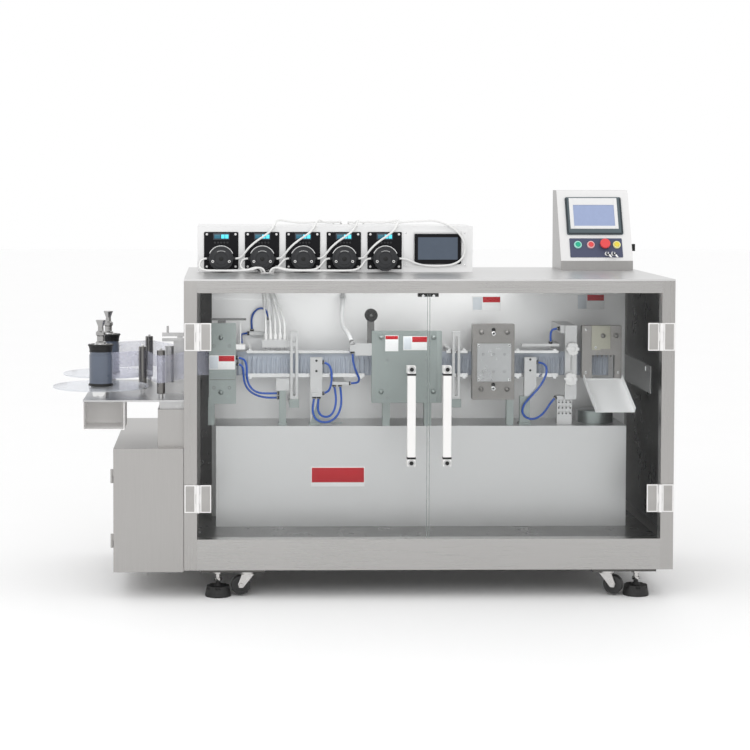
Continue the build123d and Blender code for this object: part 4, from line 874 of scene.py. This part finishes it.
def tagDetails():
    for name, x, y, z, share in plainPlates:
        tag = Shape(name, "machine", "station_plates" if y < 300 else "mounting_plate")
        tag.slab(x, (y - 0.8, y), z, 0.35, "labelWhite")
        split = x[0] + (x[1] - x[0]) * share
        high = z[1] - (z[1] - z[0]) * (0.42 if share else 0.24)
        tag.slab((split + 1, x[1] - 1.5), (y - 1.1, y - 0.7), (high, z[1] - 1.5), 0.15, "labelRed")
        if share:
            tag.slab((x[0] + 2, split - 2), (y - 1.0, y - 0.7), (z[0] + 3, z[1] - 3), 0.15, "labelPale")
        tag.made()
    band = Shape("cover_band", "machine", "base_cover")
    for form in coverBand:
        band.slab(*form)
    band.made()


# Door hinges and handles
hingeFacts = {
    "x": (50.0, 1718.0),
    "middles": (364.0, 948.0),
    "half": 46.0,
    "near": 13.0,
    "far": 44.0,
    "y": (-6.9, -6.0),
    "screwInset": 8.0,
    "screwDrop": 16.0,
}


def hingeDetails():
    facts = hingeFacts
    for side, line in zip((1, -1), facts["x"]):
        door = "left_door" if side > 0 else "right_door"
        for body, way in ((door, side), ("machine", -side)):
            label = "leaf" if body == door else "fixed"
            slot = door + "_fittings" if body == door else "door_hardware"
            shape = Shape(f"{door}_hinge_{label}", body, slot)
            ends = sorted((line + way * facts["near"], line + way * facts["far"]))
            for middle in facts["middles"]:
                low = middle - facts["half"]
                high = middle + facts["half"]
                shape.slab(ends, facts["y"], (low, high), 0.4, "hingeGrey")
                for x in (ends[0] + facts["screwInset"], ends[1] - facts["screwInset"]):
                    for z in (low + facts["screwDrop"], high - facts["screwDrop"]):
                        screw(shape, x, facts["y"][0], z, 4.2, 1.4, "hingeGrey", "dimple")
            shape.made()


handleFacts = {
    "x": (814.0, 942.0),
    "low": 488.0,
    "high": 846.0,
    "front": -54.0,
    "back": -29.2,
    "half": 15.8,
    "eye": ((7.4, 0), (9.5, 1.6), (12.6, 1.2), (13.4, 0)),
    "bore": ((0, 0.5), (7.4, 0.5), (7.5, 0)),
    "eyeInset": 11.0,
    "band": (25.0, 33.0),
}


def handleDetails():
    facts = handleFacts
    front = facts["front"]
    for door, x in zip(("left_door", "right_door"), facts["x"]):
        shape = Shape(f"{door}_handle_ends", door, door + "_fittings")
        for end, way in ((facts["high"], -1), (facts["low"], 1)):
            eye = end + way * facts["eyeInset"]
            shape.turned((x, front + 0.2, eye), towardsFront, facts["eye"], "satin", 32)
            # The bore is a flat black disc inside the eye: painted shade of the hole
            shape.turned((x, front + 0.1, eye), towardsFront, facts["bore"], "black", 28)
            band = sorted(end + way * inset for inset in facts["band"])
            ends = (x - facts["half"], x + facts["half"])
            shape.slab(ends, (front - 0.8, facts["back"]), band, 1.5, "black")
        shape.made()


# Station plates: screws in rows, as columns, front, heights, radius, length, finish and form
stationScrews = {
    "forming": ((105.8, 163.5), 262.2, (891, 735), 6.0, 1.2, "darkSteel", "dimple"),
    "stampingMiddle": ((1109, 1148, 1189), 245.2, (861, 796), 4.4, 1.0, "darkSteel", "dimple"),
    "stampingCorners": ((1093, 1207), 245.2, (894, 766), 4.6, 2.6, "bright", "cap"),
    "stampingEnds": ((1148,), 250.2, (938, 733), 8.5, 9.0, "bright", "cap"),
    "sealing": ((752, 898), 240.2, (700, 840), 4.2, 1.0, "darkSteel", "dimple"),
}
stationForms = {
    "seam": ((90, 185), (261.4, 262.0), (764, 766)),
    "bores": ((1148, 250.2, 952), (1148, 250.2, 747)),
    "bore": ((0, 0.6), (7.5, 0.6), (7.8, 0)),
    "exitPlate": ((1519, 1589), (267.6, 272.2), (878, 965.5)),
    "exitScrews": ((1498, 272.1, 950), (1498, 272.1, 790), (1620, 272.1, 790), (1534, 267.7, 884)),
    "pins": tuple((1531 + step * 16.5, 300, 857) for step in range(5)),
    "pin": ((0, -1), (3.6, -1), (3.6, 8), (1.5, 13), (0, 13)),
    "bar": ((934, 950), (239.2, 240.0), (684, 946)),
}


def screwRows(shape, key):
    columns, y, heights, radius, length, finish, form = stationScrews[key]
    for x in columns:
        for z in heights:
            screw(shape, x, y, z, radius, length, finish, form)


def stationDetails():
    facts = stationForms
    shape = Shape("forming_plate_screws", "machine", "station_plates")
    screwRows(shape, "forming")
    shape.slab(*facts["seam"], 0.2, "darkSteel")
    shape.made()
    shape = Shape("stamping_screws", "machine", "station_plates")
    for key in ("stampingMiddle", "stampingCorners", "stampingEnds"):
        screwRows(shape, key)
    # The bores are flat black discs: painted shade of the holes
    for spot in facts["bores"]:
        shape.turned(spot, towardsFront, facts["bore"], "black", 24)
    shape.made()
    shape = Shape("exit_screws", "machine", "station_plates")
    shape.slab(*facts["exitPlate"], 1.0, "beige")
    for spot in facts["exitScrews"]:
        screw(shape, *spot, 4.4, 2.2, "bright", "cap")
    for spot in facts["pins"]:
        shape.turned(spot, (0, 0, -1), facts["pin"], "dieDark", 16)
    shape.made()
    shape = Shape("sealing_screws", "machine", "station_plates")
    screwRows(shape, "sealing")
    shape.slab(*facts["bar"], 0.3, "toolGrey")
    shape.made()


# Push fittings at the ends of the air tubes
def fittingDetails():
    shape = Shape("push_fittings", "machine", "station_supports")
    sleeve = ((0, -1.2), (4.4, -1.2), (6.0, -0.6), (6.0, 1.4), (7.3, 1.6), (7.3, 8.4), (5.6, 9.2), (0, 9.2))
    for route in airRoutes:
        for end, inner in ((route[0], route[1]), (route[-1], route[-2])):
            away = (Vector(end) - Vector(inner)).normalized()
            shape.turned(end, away, sleeve, "black", 20)
    shape.made()


# Reels: rings and screws that the CAD solids leave out, as height, outline, finish and sides
reelRings = (
    (906.5, ((40.5, 0), (45.6, 0), (46.6, 1.2), (46.6, 4.6), (45.4, 5.8), (40.5, 5.8)), "black", 48),
    (885.4, ((40.2, 0), (42.4, 0.2), (42.4, 2.8), (40.2, 3)), "headGrey", 48),
    (912.1, ((12, 0), (22, 0), (23, 1), (22, 3.4), (12, 3.4)), "bright", 40),
    (762.1, ((30, 0), (44, 0), (46, 2), (44, 5), (42.2, 9), (40.6, 9)), "black", 48),
)
reelScrews = {"count": 6, "reach": 36.0, "height": 911.8}


def reelDetails():
    facts = reelScrews
    for name, y in zip(("front_reel", "rear_reel"), reelSpots["y"]):
        shape = Shape(name + "_rings", name, name)
        for z, outline, finish, sides in reelRings:
            shape.turned((reelSpots["x"], y, z), upwards, outline, finish, sides)
        for step in range(facts["count"]):
            angle = 2 * math.pi * step / facts["count"]
            across = reelSpots["x"] + facts["reach"] * math.cos(angle)
            along = y + facts["reach"] * math.sin(angle)
            screw(shape, across, along, facts["height"], 3.0, 2.2, "chrome", "cap", upwards)
        shape.made()


# Places on a CAD node's front, for small parts that sit on it
frontTrees = {}


def frontOf(node, x, z):
    if node not in frontTrees:
        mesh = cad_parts[node].data
        spots = [vertex.co for vertex in mesh.vertices]
        faces = [face.vertices for face in mesh.polygons]
        frontTrees[node] = BVHTree.FromPolygons(spots, faces)
    outside = toFrame(x, -200, z)
    hit = frontTrees[node].ray_cast(outside, Vector((0, 1, 0)))[0]
    return toDrawing(hit).y


smallParts = {
    "knobs": ((1444, 881), (1437, 768)),
    "knobHub": ((0, 2.4), (7, 2.4), (9, 1.4), (9.6, 0)),
    "lobes": 8,
    "lobeReach": 18.5,
    "lobe": ((0, 0), (6.2, 0), (6.2, 8), (5.0, 9.6), (0, 10)),
    "lobeDepth": 9.0,
    "portColumns": (1400, 1414, 1428, 1443),
    "portRows": (676, 655, 634),
    "gripperHoles": ((1291, 838), (1291, 797), (489, 834), (489, 795)),
}


def smallDetails():
    facts = smallParts
    shape = Shape("star_knob_lobes", "machine", "station_supports")
    for x, z in facts["knobs"]:
        y = frontOf("station_supports", x, z)
        for step in range(facts["lobes"]):
            angle = 2 * math.pi * step / facts["lobes"]
            across = x + facts["lobeReach"] * math.cos(angle)
            height = z + facts["lobeReach"] * math.sin(angle)
            spot = (across, y + facts["lobeDepth"], height)
            shape.turned(spot, towardsFront, facts["lobe"], "white", 16)
        shape.turned((x, y, z), towardsFront, facts["knobHub"], "white", 24)
    shape.made()
    # Port and gripper holes are black dimples: painted shade of the holes
    shape = Shape("manifold_ports", "machine", "station_supports")
    holes = [(x, z, 3.0, 1.0) for x in facts["portColumns"] for z in facts["portRows"]]
    holes += [(x, z, 4.2, 1.2) for x, z in facts["gripperHoles"]]
    for x, z, radius, height in holes:
        front = frontOf("station_supports", x, z) - 0.1
        screw(shape, x, front, z, radius, height, "black", "dimple")
    shape.made()


# The doors' meeting edges show as two thin lines
paneLines = {"left_door": (873.5, 876.0), "right_door": (882.0, 884.5), "end": 2.0}


def paneDetails():
    for door in ("left_door", "right_door"):
        heights = [toDrawing(v.co).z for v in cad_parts[door + "_glass"].data.vertices]
        shape = Shape(door + "_edge", door, door + "_glass")
        low, high = min(heights) + paneLines["end"], max(heights) - paneLines["end"]
        shape.slab(paneLines[door], (-0.4, 0.1), (low, high), 0.15, "paneEdge")
        shape.made()


smallDetails()
paneDetails()
pumpDetails()
screenDetails()
buttonDetails()
tagDetails()
hingeDetails()
handleDetails()
stationDetails()
fittingDetails()
reelDetails()
print("details added")


# Studio
studio = {
    "floor": 0.99,
    "sky": 1.0,
    "lights": (
        ("key", (-2.2, -3.4, 3.6), (0, 0, 0.6), (2.6, 2.6), 20.0),
        ("front", (-0.3, -4.6, 2.4), (0, 0, 0.6), (3.6, 1.4), 26.0),
        ("inside", toFrame(680, 150, 1098), toFrame(640, 330, 400), (1.2, 0.16), 1.9),
    ),
}
photoView = {
    "place": (159.2, -6763.4, 1543.0),
    "lens": 90.74,
    "sensor": 36.0,
    "shift": (0.154, -0.171),
    "yaw": 0.947,
    "pitch": -2.296,
    "roll": 0.048,
    "reach": 100.0,
}


def floorPiece():
    bpy.ops.mesh.primitive_plane_add(size=60, location=(0, 0, 0))
    floor = bpy.context.object
    floor.name = "floor"
    paint = Paint("studio_floor")
    cloud = paint.noise(1.5, 2.0)
    shade = paint.blend(cloud, tone(studio["floor"] * 0.985), tone(studio["floor"]))
    floor.data.materials.append(paint.finish(Base_Color=shade, Roughness=0.7 + cloud * 0.05))


def areaLight(name, place, aim, size, power):
    light = bpy.data.lights.new(name, "AREA")
    light.shape = "RECTANGLE"
    light.size, light.size_y = size
    light.energy = power
    piece = bpy.data.objects.new(name, light)
    bpy.context.scene.collection.objects.link(piece)
    piece.location = place
    piece.rotation_euler = (Vector(aim) - Vector(place)).to_track_quat("-Z", "Y").to_euler()


def studioLight():
    bpy.context.scene.view_settings.view_transform = "Standard"
    world = bpy.data.worlds.new("studio")
    bpy.context.scene.world = world
    world.use_nodes = True
    back = world.node_tree.nodes["Background"]
    back.inputs["Color"].default_value = (1, 1, 1, 1)
    back.inputs["Strength"].default_value = studio["sky"]
    for light in studio["lights"]:
        areaLight(*light)


def photoCamera():
    facts = photoView
    data = bpy.data.cameras.new("camera")
    data.sensor_width = facts["sensor"]
    data.lens = facts["lens"]
    data.shift_x, data.shift_y = facts["shift"]
    data.clip_end = facts["reach"]
    camera = bpy.data.objects.new("camera", data)
    bpy.context.scene.collection.objects.link(camera)
    camera.location = toFrame(*facts["place"])
    turn = Matrix.Rotation(-math.radians(facts["yaw"]), 4, "Z")
    turn = turn @ Matrix.Rotation(math.radians(90 + facts["pitch"]), 4, "X")
    turn = turn @ Matrix.Rotation(math.radians(facts["roll"]), 4, "Z")
    camera.rotation_euler = turn.to_euler()
    bpy.context.scene.camera = camera


floorPiece()
studioLight()
photoCamera()
print("studio ready")
